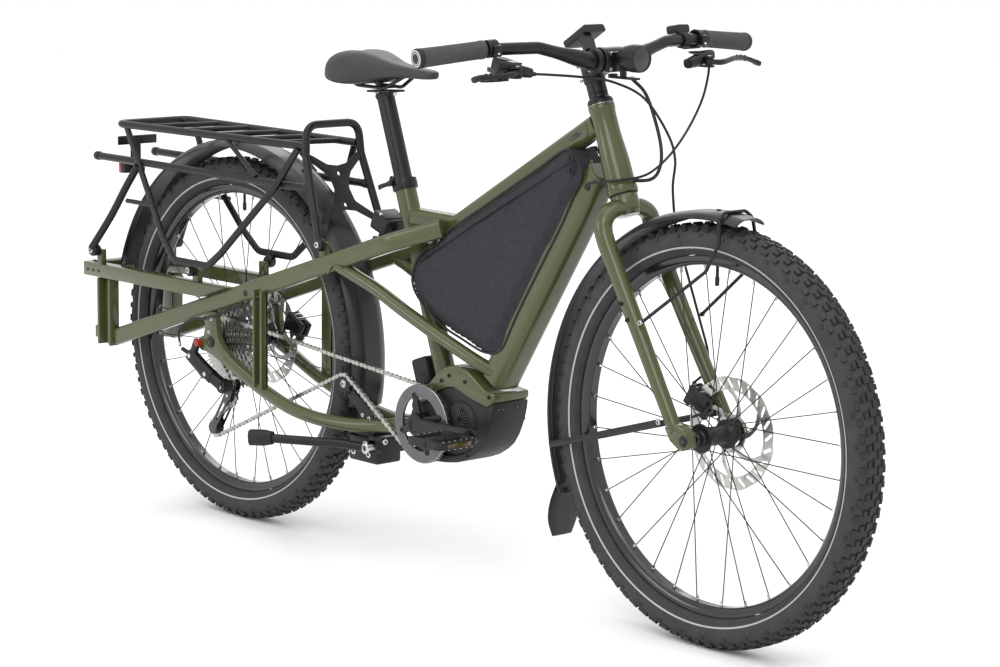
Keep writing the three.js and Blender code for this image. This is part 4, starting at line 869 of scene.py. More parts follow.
def front_guard():
    b = Build()
    line = arc_points(FRONT_AXLE, 396.8, 79, 204, 72)
    b.sweep(line, guard_section(37, 12, 2.2, -1), "guard")
    flap = spline([(976, 0, 236), (968, 0, 200), (963, 0, 166), (960, 0, 132)], 8)
    b.sweep(flap, [(x, z * 0.35) for x, z in guard_section(38, 6, 6, 1)], "guard",
            scale=[(0.8 + 0.25 * math.sin(math.pi * k / 24)) * (1 - 0.9 * max(0, k / 24 - 0.62) ** 1.6)
                   for k in range(25)])
    upper = rounded([(1231, -76, 571), (1364, -56, 674), (1384, -46, 724), (1378, -42, 762),
                     (1376, -26, 774), (1376, 26, 774), (1378, 42, 762), (1384, 46, 724), (1364, 56, 674),
                     (1231, 76, 571)], 14, 4)
    b.tube(upper, 3.2, "black", 14, side=(1, 0, 0))
    lower = rounded([(1282, -78, 402), (960, -39, 306), (945, 0, 300), (960, 39, 306), (1282, 78, 402)], 18,
                    5)
    b.sweep(lower, rrect(12, 3, 1.2, 2), "black", side=(0, 0, 1))
    for side in (-1, 1):
        b.bolt((1231, 78 * side, 571), (0, side, 0), 4.6, 3.4)
        b.bolt((1281, 79 * side, 402), (0, side, 0), 4.6, 3.4)
    for deg in (90, 122, 150):
        b.bolt(polar(FRONT_AXLE, 397, deg), Vector(polar((0, 0, 0), 1, deg)), 4, 2, "black")
    b.done("front_guard_shell", "steering", "front_mudguard", 40)


def rear_guard():
    b = Build()
    line = arc_points(REAR_AXLE, 412.8, 164, -12, 96)
    b.sweep(line, guard_section(43, 14, 2.2, 1), "guard")
    for deg in (100, 62, 26, 150):
        b.bolt(polar(REAR_AXLE, 413, deg), Vector(polar((0, 0, 0), 1, deg)), 4, 2, "black")
    b.done("rear_guard_shell", "frame", "rear_mudguard", 40)


front_guard()
rear_guard()


# ---- drive ---------------------------------------------------------------------------------
PITCH = 12.7
COG_R = 46
IDLER = (387, -52, 340)
GUIDE = (14, -47, 262)
TENSION = (-36, -47, 188)


def sprocket_outline(teeth, tip=4.4, root=3.6):
    """Toothed outline around a pitch circle."""
    radius = teeth * PITCH / (2 * math.pi)
    out = []
    for i in range(teeth):
        for frac, r in ((-0.5, radius - root), (-0.26, radius - root * 0.8), (-0.1, radius + tip * 0.6),
                        (0, radius + tip * 0.75),
                        (0.1, radius + tip * 0.6), (0.26, radius - root * 0.8)):
            a = 2 * math.pi * (i + frac) / teeth
            out.append((r * math.cos(a), r * math.sin(a)))
    return out


def cassette():
    b = Build()
    cogs = [(50, -28.4), (43, -32.4), (37, -36.4), (31, -40.2), (27, -43.8), (23, -47.2), (19, -50.8),
            (17, -54.4), (15, -58), (13, -61.6), (11, -65.2)]
    for teeth, y in cogs:
        plane = ((0, 0, 376), (1, 0, 0), (0, 0, 1), (0, 1, 0))
        radius = teeth * PITCH / (2 * math.pi)
        if radius > 46:
            b.plate(sprocket_outline(teeth, 4.0), y - 0.9, y + 0.9, "chain", [ring(radius - 14, 60)], plane)
            for k in range(7):
                a = k * 360 / 7 + teeth
                b.sweep([polar(REAR_AXLE, 20, a, y), polar(REAR_AXLE, radius - 12, a + 14, y)],
                        rrect(1.7, 7, 0.4, 1), "chain")
        else:
            b.plate(sprocket_outline(teeth, 4.0), y - 0.9, y + 0.9, "chain",
                    [ring(min(18, radius - 6), 24)], plane)
    b.lathe([(6.4, -25), (19.5, -25), (19.5, -66), (17, -67), (17, -71), (14, -72), (6.4, -72)], REAR_AXLE,
            (0, 1, 0), "black", 40, closed=True)
    b.done("sprocket_stack", "sprockets", "cassette", 30)


def tangent(c1, r1, c2, r2, s1, s2):
    dx, dz = c2[0] - c1[0], c2[2] - c1[2]
    a = math.atan2(dz, dx) + math.acos((s1 * r1 - s2 * r2) / math.hypot(dx, dz))
    return [(c[0] + s * r * math.cos(a), c[1], c[2] + s * r * math.sin(a)) for c, r,
            s in ((c1, r1, s1), (c2, r2, s2))]


def wrap(center, radius, start, end, direction):
    a = math.atan2(start[2] - center[2], start[0] - center[0])
    span = math.atan2(end[2] - center[2], end[0] - center[0]) - a
    if direction > 0 and span < 0:
        span += 2 * math.pi
    if direction < 0 and span > 0:
        span -= 2 * math.pi
    return [Vector((center[0] + radius * math.cos(a + span * i / 24), center[1],
                    center[2] + radius * math.sin(a + span * i / 24))) for i in range(25)]


def chain():
    ring_c, cog_c = (BB[0], -55, BB[2]), (0, -47, 376)
    upper = tangent(cog_c, COG_R, ring_c, 73, 1, 1)
    to_idler = tangent(ring_c, 73, IDLER, 19, 1, -1)
    to_tension = tangent(IDLER, 19, TENSION, 18, -1, 1)
    to_guide = tangent(TENSION, 18, GUIDE, 18, 1, -1)
    to_cog = tangent(GUIDE, 18, cog_c, COG_R, -1, 1)
    path = (wrap(ring_c, 73, upper[1], to_idler[0], -1) + wrap(IDLER, 19, to_idler[1], to_tension[0],
            1) + wrap(TENSION, 18, to_tension[1], to_guide[0], -1) + wrap(GUIDE, 18, to_guide[1], to_cog[0],
            1) + wrap(cog_c, COG_R, to_cog[1], upper[0], -1))
    path.append(path[0])
    length = sum((q - p).length for p, q in zip(path, path[1:]))
    links = 2 * round(length / PITCH / 2)
    step = length / links
    pins, walked, goal = [], 0.0, 0.0
    for p, q in zip(path, path[1:]):
        d = (q - p).length
        while goal <= walked + d and len(pins) < links:
            pins.append(p.lerp(q, (goal - walked) / d if d else 0))
            goal += step
        walked += d
    b = Build()
    for i, p in enumerate(pins):
        q = pins[(i + 1) % len(pins)]
        t = (q - p).normalized()
        n = Vector((-t.z, 0, t.x))
        half = (q - p).length
        outline = []
        for k in range(7):
            a = math.pi / 2 + math.pi * k / 6
            outline.append((4.2 * math.cos(a), 4.2 * math.sin(a)))
        outline.append((half / 2, -2.5))
        for k in range(7):
            a = -math.pi / 2 + math.pi * k / 6
            outline.append((half + 4.2 * math.cos(a), 4.2 * math.sin(a)))
        outline.append((half / 2, 2.5))
        gap = 2.4 if i % 2 else 1.4
        for side in (-1, 1):
            low, high = sorted((side * gap, side * (gap + 0.95)))
            b.plate(outline, low, high, "chain", (), (p, t, n, (0, 1, 0)))
        b.lathe([(0, -3), (1.7, -3), (1.7, 3), (0, 3)], p, (0, 1, 0), "chain", 8)
    b.done("chain_links", None, "chain", 35, blend=("frame", "cage", at((145, -50, 229)),
            at((108, -50, 180))))


def crank_arm(b, side, root):
    """Arm and pedal eye: the right one (side -1) points forward, the left one back."""
    end, mid = polar(BB, -170 * side, 2), polar(BB, -85 * side, 2)
    line = [(BB[0] + 6 * side, root * side, BB[2]), (BB[0] - 24 * side, (root + 2) * side,
                                                     BB[2] - 0.8 * side), (mid[0], 77 * side, mid[2]),
            (end[0] + 26 * side, 80 * side, end[2]), (end[0] + 4 * side, 80.5 * side, end[2])]
    b.sweep(spline(line, 6), rrect(29, 12, 5, 4), "black", side=(0, 0, 1),
            scale=[1.15 - 0.32 * math.sin(math.pi * 0.5 * min(1, k / 15)) for k in range(25)])
    eye = [(7.4, 74.6), (14, 74.6), (15, 75.6), (15, 86.6), (14, 87.6), (7.4, 87.6)]
    b.lathe([(r, y * side) for r, y in eye], (end[0], 0, end[2]), (0, 1, 0), "black", 36, closed=True)


def crankset():
    b = Build()
    plane = (BB, (1, 0, 0), (0, 0, 1), (0, 1, 0))
    b.plate(sprocket_outline(36), -57.6, -53.8, "crank", [ring(56, 48)], plane)
    b.lathe([(53, -58.9), (75.6, -58.9), (76, -59.4), (76, -60.6), (75.6, -61.1), (53, -61.1)], BB,
            (0, 1, 0), "crank", 96, closed=True)
    b.lathe([(74.6, -61.15), (75.8, -60.9), (76.3, -60)], BB, (0, 1, 0), "silver", 96)
    for k in range(4):
        a = 20 + 90 * k
        b.sweep([polar(BB, 18, a, -64), polar(BB, 40, a, -61), polar(BB, 58, a, -59)], rrect(17, 7, 2.5, 3),
                "black", side=(-math.sin(math.radians(a)), 0, math.cos(math.radians(a))),
                scale=[1.3, 0.9, 0.85])
        b.bolt(polar(BB, 57, a, -61), (0, -1, 0), 5, 2.4, "black")
    crank_arm(b, -1, 71)
    b.lathe([(13, -53), (22, -53), (22.4, -60), (21.6, -76), (19, -78), (13, -78)], BB, (0, 1, 0), "black",
            48, closed=True)
    b.lathe([(0, -77), (9, -77), (12.6, -76), (12.8, -70)], BB, (0, 1, 0), "crank", 36)
    b.done("crank_right_set", "cranks", "crankset_right", 35)
    c = Build()
    c.lathe([(0, -77), (12.4, -77), (12.6, -74), (12.6, 60), (20, 60), (22, 62), (22, 75), (20, 77.6),
             (10, 77.6), (0, 75)], BB, (0, 1, 0), "black", 48)
    crank_arm(c, 1, 70)
    c.done("crank_left_set", "cranks", "crank_left", 35)


def pedal(side, name):
    b = Build()
    x, y, z = polar(BB, 170 if side < 0 else -170, 2)
    b.lathe([(0, 77), (6.6, 77), (7, 78), (7, 106), (8.6, 108), (8.6, 190), (7, 196), (0, 197)], (x, 0, z),
            (0, side, 0), "black", 28)
    frame3 = ((x, side * 155, z), (1, 0, 0), (0, 1, 0), (0, 0, 1))
    outline = rrect(96, 98, 14, 5)
    holes = [[(sx * 27 + px, py) for px, py in rrect(27, 74, 6, 3)] for sx in (-1, 1)]
    b.plate(outline, -7.4, 7.4, "plastic", holes, frame3, 2.2)
    for sx in (-1, 1):
        b.box((x + sx * 46.6, side * 155, z), (3.4, 58, 9), "amber", 0, 1)
        for k in range(6):
            for sz in (-1, 1):
                b.lathe([(0, 1.5), (1.3, 1.2), (1.6, -2)], (x + sx * 43, side * (120 + 14 * k),
                        z + sz * 7.6), (0, 0, sz), "silver", 8)
    b.lathe([(0, 3), (9, 2.4), (10.5, 0), (10.5, -3)], (x, side * 203.6, z), (0, side, 0), "plastic", 28)
    b.done(f"pedal_{name}_body", f"pedal_{name}", f"pedal_{name}", 35)


def derailleur():
    b = Build()
    b.lathe([(0, -101), (3.4, -101), (3.6, -99.6), (7.4, -99.2), (8, -98), (8, -88.4), (0, -88.4)],
            (-38, 0, 370), (0, 1, 0), "red", 24)
    b.sweep([(-38, -94, 374), (-58, -92, 338)], rrect(12, 17, 4, 3), "black")
    b.sweep(spline([(-64, -92, 344), (-46, -91, 332), (-22, -87, 315), (0, -84, 302)], 5),
            rrect(19, 29, 7, 5), "black")
    b.sweep([(-8, -84, 306), (26, -78, 288)], rrect(20, 24, 6, 4), "black")
    b.lathe([(0, -84.6), (11, -84.6), (14, -83), (15, -80), (15, -66.6), (0, -66.6)], (24, 0, 286),
            (0, 1, 0), "black", 40)
    b.bolt((24, -84.6, 286), (0, -1, 0), 6, 1.6)
    for x, y, z in ((-58, -101.6, 341), (-14, -95.4, 308)):
        b.lathe([(0, 0.6), (4, 0.6), (5, -0.2), (5, -2)], (x, y, z), (0, -1, 0), "silver", 20)
    b.tube([(-56, -92, 340), (-92, -92, 350)], 4.6, "black", 16)
    b.sweep([(-54, -97, 330), (-20, -92, 300)], rrect(3, 10, 1, 2), "grey")
    b.done("derailleur_knuckles", "frame", "derailleur_body", 35)
    c = Build()
    pivot, upper, lower = (24, 286), (GUIDE[0], GUIDE[2]), (TENSION[0], TENSION[2])
    for low, high, mat in ((-58.2, -56, "grey"), (-39.6, -37.6, "black")):
        c.plate(capsule(upper, lower, 8.5), low, high, mat, [capsule((2, 243), (-22, 208), 3)], bevel=0.5)
        c.plate(capsule(pivot, upper, 11), low - 0.02, high + 0.02, mat, bevel=0.5)
        c.lathe([(0, -0.6), (12.4, -0.6), (13, 0), (13, 1.6), (0, 1.6)], (TENSION[0], low, TENSION[2]),
                (0, 1, 0), mat, 32)
    for center in (GUIDE, TENSION):
        c.plate(sprocket_outline(9, 4, 3.6), -1.4, 1.4, "plastic", [ring(5.8, 20)],
                (center, (1, 0, 0), (0, 0, 1), (0, 1, 0)))
        c.lathe([(0, -11.6), (3, -11.6), (3.4, -10.6), (6, -10), (6, 10), (0, 10)], center, (0, 1, 0),
                "silver", 24)
    c.lathe([(0, -66), (8.6, -66), (9, -65), (9, -56), (0, -56)], (24, 0, 286), (0, 1, 0), "black", 32)
    c.tube([(30, -57, 272), (30, -39, 272)], 2.6, "black", 12)
    c.done("derailleur_arm", "cage", "derailleur_cage", 35)
    d = Build()
    d.plate(sprocket_outline(10, 3.6, 3.4), -1.3, 1.3, "plastic", [ring(4.6, 20)],
            (IDLER, (1, 0, 0), (0, 0, 1), (0, 1, 0)))
    d.lathe([(4.6, -2.5), (8, -2.5), (8, 2.5), (4.6, 2.5)], IDLER, (0, 1, 0), "steel", 28, closed=True)
    d.done("idler_wheel", "idler", "chain_idler", 35)


def stand():
    b = Build()
    b.box((410, 0, 246), (80, 58, 16), "black", 0, 2)
    b.box((458, 0, 226), (40, 64, 34), "black", 0, 3)
    b.box((420, 0, 212), (88, 64, 54), "black", 0, 6, steps=3)
    for x in (394, 440):
        b.bolt((x, -32, 204), (0, -1, 0), 7, 3)
    b.plate([(376, 334), (375, 344), (381, 352), (392, 353), (400, 346), (412, 326), (470, 290), (474, 272),
             (430, 272), (422, 292), (400, 308)], -47.8, -44.6, "black", bevel=0.8)
    for x, z in ((438, 284), (458, 280)):
        b.bolt((x, -47.8, z), (0, -1, 0), 4.4, 1)
    b.tube([(387, -44.8, 340), (387, -54.4, 340)], 4, "black", 20)
    b.bolt((387, -54.4, 340), (0, -1, 0), 6.4, 2.4)
    for y in (-20, 20):
        b.bolt((446, y, 209), (0, 0, -1), 6, 3)
    for y in (-24, 24):
        b.bolt((478, y, 234), (1, 0, 0), 6, 3)
    b.sweep([(372, -44, 250), (372, 44, 250)], rrect(12, 22, 3, 2), "black")
    b.done("stand_bracket", "frame", "stand_mount", 35)
    c = Build()
    for side in (-1, 1):
        c.tube(rounded(flip([(458, 44, 220), (408, 74, 226), (262, 158, 226)], side), 30, 6), 9, "black", 24)
        c.sweep(spline(flip([(282, 148, 227), (266, 156, 226), (250, 163, 225), (238, 168, 224)], side), 3),
                rrect(26, 32, 10, 4), "plastic", scale=[0.8 + 0.2 * min(1, k / 3) for k in range(10)])
    c.tube([(458, -56, 222), (458, 56, 222)], 7, "steel", 24)
    for side in (-1, 1):
        c.bolt((458, side * 56, 222), (0, side, 0), 11, 3)
        end = Vector((238, 168 * side, 224))
        out = Vector((-12, 5 * side, -1)).normalized()
        c.lathe([(9.5, 0.5), (7.5, 0.3), (7, -0.5), (0, -0.6)], end, out, "gloss", 24)
        c.tube(ring_points((436, side * 38, 222), (0, 1, 0), 8, steps=20), 1.4, "steel", 8, side=(0, 1, 0))
    c.done("stand_leg_pair", "stand", "stand_legs", 35)


def caliper(name, body, center, y, tilt):
    b = Build()
    for dy, width in ((-9.4, 13), (9.4, 13)):
        b.box((center[0], y + 3 + dy * 0.92, center[2]), (52, width, 33), "black", tilt, 4, steps=3)
    b.box((center[0] - 13 * math.cos(tilt) + 14 * math.sin(tilt), y + 3, center[2] + 12 * math.cos(tilt)),
          (22, 25, 8), "black", tilt, 2)
    for k in (-1, 1):
        at_bolt = (center[0] + k * 18 * math.cos(tilt), y + 16, center[2] - k * 18 * math.sin(tilt))
        b.bolt(at_bolt, (0, 1, 0), 4.2, 2)
        b.lathe([(0, 0.8), (9, 0.8), (10, 0)], (center[0] + k * 2, y + 15.4, center[2] + k), (0, 1, 0),
                "gloss", 28)
    for k in range(5):
        fin = (center[0] - 12 + 6 * k, y + 3, center[2] + 21 - 3.2 * k)
        b.box(fin, (2.4, 22, 8), "silver" if k % 2 else "black", tilt, 0.6)
    for k in (-1, 1):
        foot = (center[0] + k * 22 * math.cos(tilt) - 10, y + 2, center[2] - k * 22 * math.sin(tilt) - 14)
        b.box(foot, (15, 12, 22), "black", tilt, 2.5)
        b.bolt((foot[0], y + 8, foot[2] - 4), (0, 1, 0), 4.6, 3)
    banjo = (center[0] - 24 * math.cos(tilt), y + 13, center[2] + 26 * math.sin(tilt) + 6)
    b.lathe([(0, 8), (3, 8), (5, 7), (5, -7), (3, -8), (0, -8)], banjo, (0, 1, 0), "silver", 20)
    b.done(f"{name}_brake_unit", body, f"{name}_caliper", 35)


cassette()
chain()
crankset()
both(pedal)
derailleur()
stand()
caliper("rear", "frame", (98, 0, 410), 58.6, 0.5)
caliper("front", "steering", (1262, 0, 426), 44.7, 0.5)


# ---- fork and cockpit ----------------------------------------------------------------------
def fork():
    b = Build()
    b.lathe([(0, -40), (20, -40), (22, -36), (24.6, -28), (25, -3), (24, -1.6), (14.3, -1.6), (14.3, 246),
             (12, 247), (0, 247)], HEAD_BOTTOM, HEAD_DIR, "paint", 64)
    b.lathe([(14.6, -2), (26.6, -2), (26.9, -1.4), (26.9, -0.8), (26.4, -0.3), (14.6, -0.3)], HEAD_BOTTOM,
            HEAD_DIR, "black", 64, closed=True)
    for side in (-1, 1):
        line = spline(flip([(1113, 0, 756), (1113.5, 30, 755), (1114, 54, 742), (1120, 62, 713),
                            (1157, 61.5, 643), (1209, 62, 555), (1263, 64, 465), (1310, 66, 388)], side), 5)
        n = len(line)
        b.sweep(line, oval(17.8, 15.8, 28), "paint", side=(1, 0, 0),
                scale=[1 - 0.27 * max(0, (i - n * 0.36) / (n * 0.64)) for i in range(n)])
        low, high = (54, 76) if side > 0 else (-76, -54)
        b.plate([(1290, 394), (1304, 402), (1318, 404), (1334, 399), (1346, 390), (1352, 372), (1347, 363),
                 (1338, 359), (1322, 361), (1304, 372)], low, high, "paint", bevel=3)
        b.lathe([(0, 1.6), (7, 1.6), (10, 0.6), (11, -1)], (1338, side * 76, 376), (0, side, 0), "black", 32)
        # flat black gloss hexagon on the axle cap: painted shade standing in for the hex socket hole
        b.lathe([(0, 2.2), (4, 2.2)], (1338, side * 76, 376), (0, side, 0), "gloss", 6)
        for x, y, z in ((1231, 75.4, 571), (1281, 77, 402), (1180, 76.5, 598), (1196, 76.4, 571)):
            b.bolt((x, side * y, z), (0, side, 0), 4.2, 2.6, "black")
    weld(b, ring_points(HEAD_BOTTOM - HEAD_DIR * 30, HEAD_DIR, 24.6, steps=40), 0.8)
    b.lathe([(0, -70), (5.9, -70), (5.9, 70), (0, 70)], FRONT_AXLE, (0, 1, 0), "black", 28)
    b.done("fork_unicrown", "steering", "fork", 40)


BAR_HALF = [(1062, 0, 1015), (1060, 52, 1015), (1046, 158, 1041), (1029, 272, 1041), (1010.6, 404.5, 1029.4)]
GRIP_START, GRIP_END = Vector((1029, 272, 1041)), Vector((1010, 409, 1029))


def along_bar(y):
    t = (abs(y) - GRIP_START.y) / (GRIP_END.y - GRIP_START.y)
    p = GRIP_START.lerp(GRIP_END, t)
    return Vector((p.x, y, p.z))


def handlebar():
    b = Build()
    line = rounded([*flip(BAR_HALF[1:][::-1], -1), *BAR_HALF[1:]], 60, 6)
    scale = [11.1 / 15.8 + (1 - 11.1 / 15.8) * (1 - min(1, max(0, (abs(p.y) - 58) / 72))) ** 2 for p in line]
    dense, factors = [line[0]], [scale[0]]
    for p, q in zip(line, line[1:]):
        steps = max(1, int((q - p).length / 12))
        for k in range(1, steps + 1):
            r = p.lerp(q, k / steps)
            dense.append(r)
            t = min(1, max(0, (abs(r.y) - 58) / 72))
            factors.append(1 - (1 - 11.1 / 15.8) * t * t * (3 - 2 * t))
    b.tube(dense, 15.8, "black", 32, side=(1, 0, 0), scale=factors)
    b.done("bar_tube", "steering", "handlebar", 40)


def stem():
    b = Build()
    b.lathe([(14.6, 166.4), (23, 166.4), (23.6, 167), (23.6, 173), (21, 177), (18, 178.6), (18, 186.2),
             (17.6, 186.8), (14.6, 186.8)], HEAD_BOTTOM, HEAD_DIR, "black", 56, closed=True)
    b.lathe([(14.6, 187), (18, 187), (18, 206.6), (14.6, 206.6)], HEAD_BOTTOM, HEAD_DIR, "black", 48,
            closed=True)
    b.lathe([(14.6, 207), (18.6, 207), (20, 209), (20, 249), (18.6, 251.4), (16, 252), (0, 252)],
            HEAD_BOTTOM, HEAD_DIR, "black", 56)
    b.bolt(HEAD_BOTTOM + HEAD_DIR * 251.8, HEAD_DIR, 5, 1.6)
    top = HEAD_BOTTOM + HEAD_DIR * 228
    b.sweep([top, (1058, 0, 1015)], rrect(38, 35, 11, 5), "black")
    b.lathe([(16, -27), (22, -27), (23, -26), (23, 26), (22, 27), (16, 27)], (1062, 0, 1015), (0, 1, 0),
            "black", 48, closed=True)
    b.box((1081, 0, 1013), (9, 50, 36), "black", 0.1, 3)
    for y in (-18, 18):
        for z in (1000, 1027):
            b.bolt((1085.4, y, z), (1, 0, -0.1), 3.6, 1.8)
    for dz in (214, 240):
        p = HEAD_BOTTOM + HEAD_DIR * dz
        b.bolt((p.x - 16, -16.5, p.z - 4), (0, -1, 0), 3.4, 2)
    b.done("stem_body", "steering", "stem", 35)


def grip(side, name):
    b = Build()
    start, end = along_bar(side * 272), along_bar(side * 409)
    axis = (end - start).normalized()
    length = (end - start).length
    profile = [(11.4, 0), (15.6, 0), (16.4, 1.2), (16.6, 8), (16, 10)]
    for k in range(24):
        d = 12 + k * (length - 24) / 24
        r = 15.2 + 1.3 * (d / length) ** 2
        profile += [(r, d), (r + 0.75, d + 1.1), (r + 0.75, d + 2.9), (r, d + 4)]
    profile += [(16.8, length - 11)]
    b.lathe(profile, start, axis, "grip", 44)
    b.lathe([(16.6, length - 11), (17.4, length - 10.4), (17.6, length - 4), (16.6, length - 1.4),
             (12, length), (0, length)], start, axis, "plastic", 48)
    b.lathe([(9, length + 0.1), (13.4, length - 0.2), (14.6, length - 0.8)], start, axis, "label", 44)
    b.done(f"grip_{name}_cover", "steering", f"grip_{name}", 40)


def brake(side, name):
    b = Build()
    c = along_bar(side * 256)
    axis = (GRIP_END - GRIP_START).normalized()
    axis = Vector((axis.x, axis.y * side, axis.z))
    b.lathe([(11.4, -10), (15, -10), (16, -8.6), (16, 8.6), (15, 10), (11.4, 10)], c, axis, "black", 36,
            closed=True)
    b.box((c.x + 17, c.y, c.z - 3), (9, 17, 20), "black", 0, 2.5)
    b.bolt((c.x + 20, c.y, c.z - 9), (0.6, 0, -0.8), 3.2, 2)
    body = spline(flip([(1056, 266, 1014), (1060, 245, 1011), (1064, 218, 1004), (1066, 196, 1000)], side), 6)
    b.sweep(body, rrect(23, 20, 8, 5), "black", side=(1, 0, 0),
            scale=[0.86 + 0.2 * math.sin(math.pi * k / 18) for k in range(19)])
    b.sweep([(1066, side * 199, 1000), (1068, side * 193, 998)], circle(7, 20), "plastic", side=(1, 0, 0))
    for dz in (-8.6, 8.6):
        b.plate([(p[0] + 1070, side * (240 + p[1])) for p in rrect(36, 20, 9, 4)], dz - 1.8, dz + 1.8,
                "black", (), ((0, 0, 1003), (1, 0, 0), (0, 1, 0), (0, 0, 1)), 0.6)
    b.bolt((1080, side * 238, 1013), (0, 0, 1), 4.4, 1.6)
    b.box((1058, side * 236, 1018), (22, 40, 4), "gloss", 0.12, 1.2)
    if side < 0:
        b.sweep([(1030, -224, 1024), (1027, -226, 1008), (1026, -226, 992)], rrect(34, 31, 9, 5), "plastic")
        b.box((1041, -232, 1000), (20, 25, 14), "plastic", 0, 4, steps=3)
        b.box((1020, -243, 1003), (24, 2, 9), "gloss", 0.2, 0.8)
    else:
        b.sweep([(1012, 210, 1057), (1036, 214, 1062)], rrect(38, 15, 5, 4), "plastic")
        b.lathe([(11.3, -8), (14.4, -8), (15, -7), (15, 8), (11.3, 8)], (1039.4, 209, 1041),
                Vector((-0.12, 0.99, 0)), "plastic", 32, closed=True)
        for y, mat in ((200, "label"), (212, "grey"), (222, "label")):
            b.box((1018, y, 1066.4), (7, 7, 2), mat, -0.2, 0.8)
        b.sweep([(1038.6, 214, 1027), (1032.4, 258, 1027)], rrect(10, 6, 2, 2), "black")
    b.done(f"brake_{name}_body", "steering", f"brake_body_{name}", 35)
    lever = Build()
    blade = ([(1080, 238, 1003), (1087, 256, 1001.4), (1090, 274, 1000), (1087, 292, 999), (1082, 309, 999),
              (1079, 325, 998), (1079, 338, 994)] if side < 0 else [(1080, 238, 1003), (1085, 262, 1001.4),
            (1079, 290, 1003.5), (1067, 322, 1006), (1060, 350, 1004.5), (1057, 376, 998.6),
            (1056, 397, 991.6)])
    line = spline(flip(blade, side), 6)
    n = len(line)
    lever.sweep(line, rrect(8.6, 11, 3, 4), "black", side=(0, 0, 1),
                scale=[1.0 + 0.2 * math.exp(-((i - n * 0.14) / 4) ** 2) + (0.12 if i > n - 5 else 0)
                       for i in range(n)])
    lever.lathe([(0, 5.8), (8, 5.8), (9, 5), (9, -5), (8, -5.8), (0, -5.8)], (1080, side * 238, 1003),
                (0, 0, 1), "black", 36)
    for t in (0.52, 0.6, 0.68):
        p = line[int(n * t)]
        lever.lathe([(2.0, 5.8), (2.8, 5.6), (2.8, -5.6), (2.0, -5.8)], p, (0, 0, 1), "gloss", 16)
    lever.done(f"lever_{name}_blade", f"brake_lever_{name}", f"brake_lever_{name}", 40)


def shift_lever():
    b = Build()
    b.lathe([(0, 0.6), (8, 0.6), (9, -0.4), (9, -4.4), (0, -4.4)], (1030, -224, 989.4), (0, 0, 1), "black",
            32)
    b.sweep(spline([(1030, -224, 986.6), (1026, -236, 986), (1018, -252, 985.6), (1013, -264, 986)], 4),
            rrect(12.5, 5, 2.2, 3), "plastic", side=(1, 0, 0), scale=[0.9 + 0.22 * k / 12
            for k in range(13)])
    b.done("shift_paddle", "shift_lever", "shift_lever", 35)


def display():
    b = Build()
    b.sweep([(972, 0, 1037), (1023, 0, 1069)], rrect(52, 15, 5, 4), "plastic")
    b.sweep([(977, 0, 1048.4), (1017, 0, 1074)], rrect(43, 1.4, 0.6, 2), "screen")
    b.sweep([(1008, -12, 1056), (1030, -22, 1044), (1048, -33, 1028)], rrect(22, 18, 5, 3), "plastic")
    b.lathe([(16, -30.4), (20, -30.4), (21.4, -31.4), (21.4, -39.6), (20, -40.8), (16, -40.8)],
            (1061.4, 0, 1015), (0, 1, 0), "plastic", 40, closed=True)
    b.bolt((1050, -35, 996), (-0.4, 0, -1), 3.2, 2)
    b.done("display_unit", "steering", "display", 35)


def headlight():
    b = Build()
    b.lathe([(0, 0), (9, 0), (15, 2), (19, 7), (22, 13), (24, 22), (24.5, 27), (24.5, 49), (23.4, 51.4),
             (21.6, 52)], (1093, 0, 1021), (1, 0, 0), "black", 64)
    b.lathe([(21.6, 52), (21.4, 50.4), (20.6, 50), (12, 51.4), (0, 52)], (1093, 0, 1021), (1, 0, 0),
            "screen", 56)
    for k in range(6):
        b.lathe([(24.3, 30 + 3 * k), (24.8, 31 + 3 * k), (24.3, 32 + 3 * k)], (1093, 0, 1021), (1, 0, 0),
                "black", 56)
    b.sweep([(1098, 0, 1010), (1098, 0, 984)], rrect(12, 8, 2, 2), "black")
    b.sweep([(1070, 0, 985), (1132, 0, 985)], rrect(18, 4, 1.5, 2), "black")
    b.box((1072, 0, 987.2), (8, 18, 7.6), "black", 0, 1.2)
    b.bolt((1120, 0, 987), (0, 0, 1), 4, 2)
    b.done("headlamp", "steering", "headlight", 35)


FRONT_HOSE = [(1064, -192, 998), (1052, -120, 992), (1066, -60, 986), (1094, -20, 978), (1126, 25, 950),
              (1156, 55, 889), (1168, 64, 842), (1158, 70, 786), (1162, 80, 700), (1184, 84, 640),
              (1224, 81, 552), (1243, 81, 502), (1245, 74, 470), (1231, 60, 449), (1238.6, 54, 441)]
REAR_HOSE = [(1057, 262, 1004), (1058, 259, 976), (1072, 230, 934), (1098, 170, 888), (1126, 100, 850),
             (1136, 48, 824), (1135, 12, 812), (1120, -26, 807), (1090, -44, 802), (1052, -37, 796)]
GEAR_CABLE = [(112, -90.9, 470), (60, -91.5, 447), (0, -93, 428), (-60, -96, 415), (-96, -97, 390),
              (-97, -96, 366), (-98.4, -94, 354.5)]


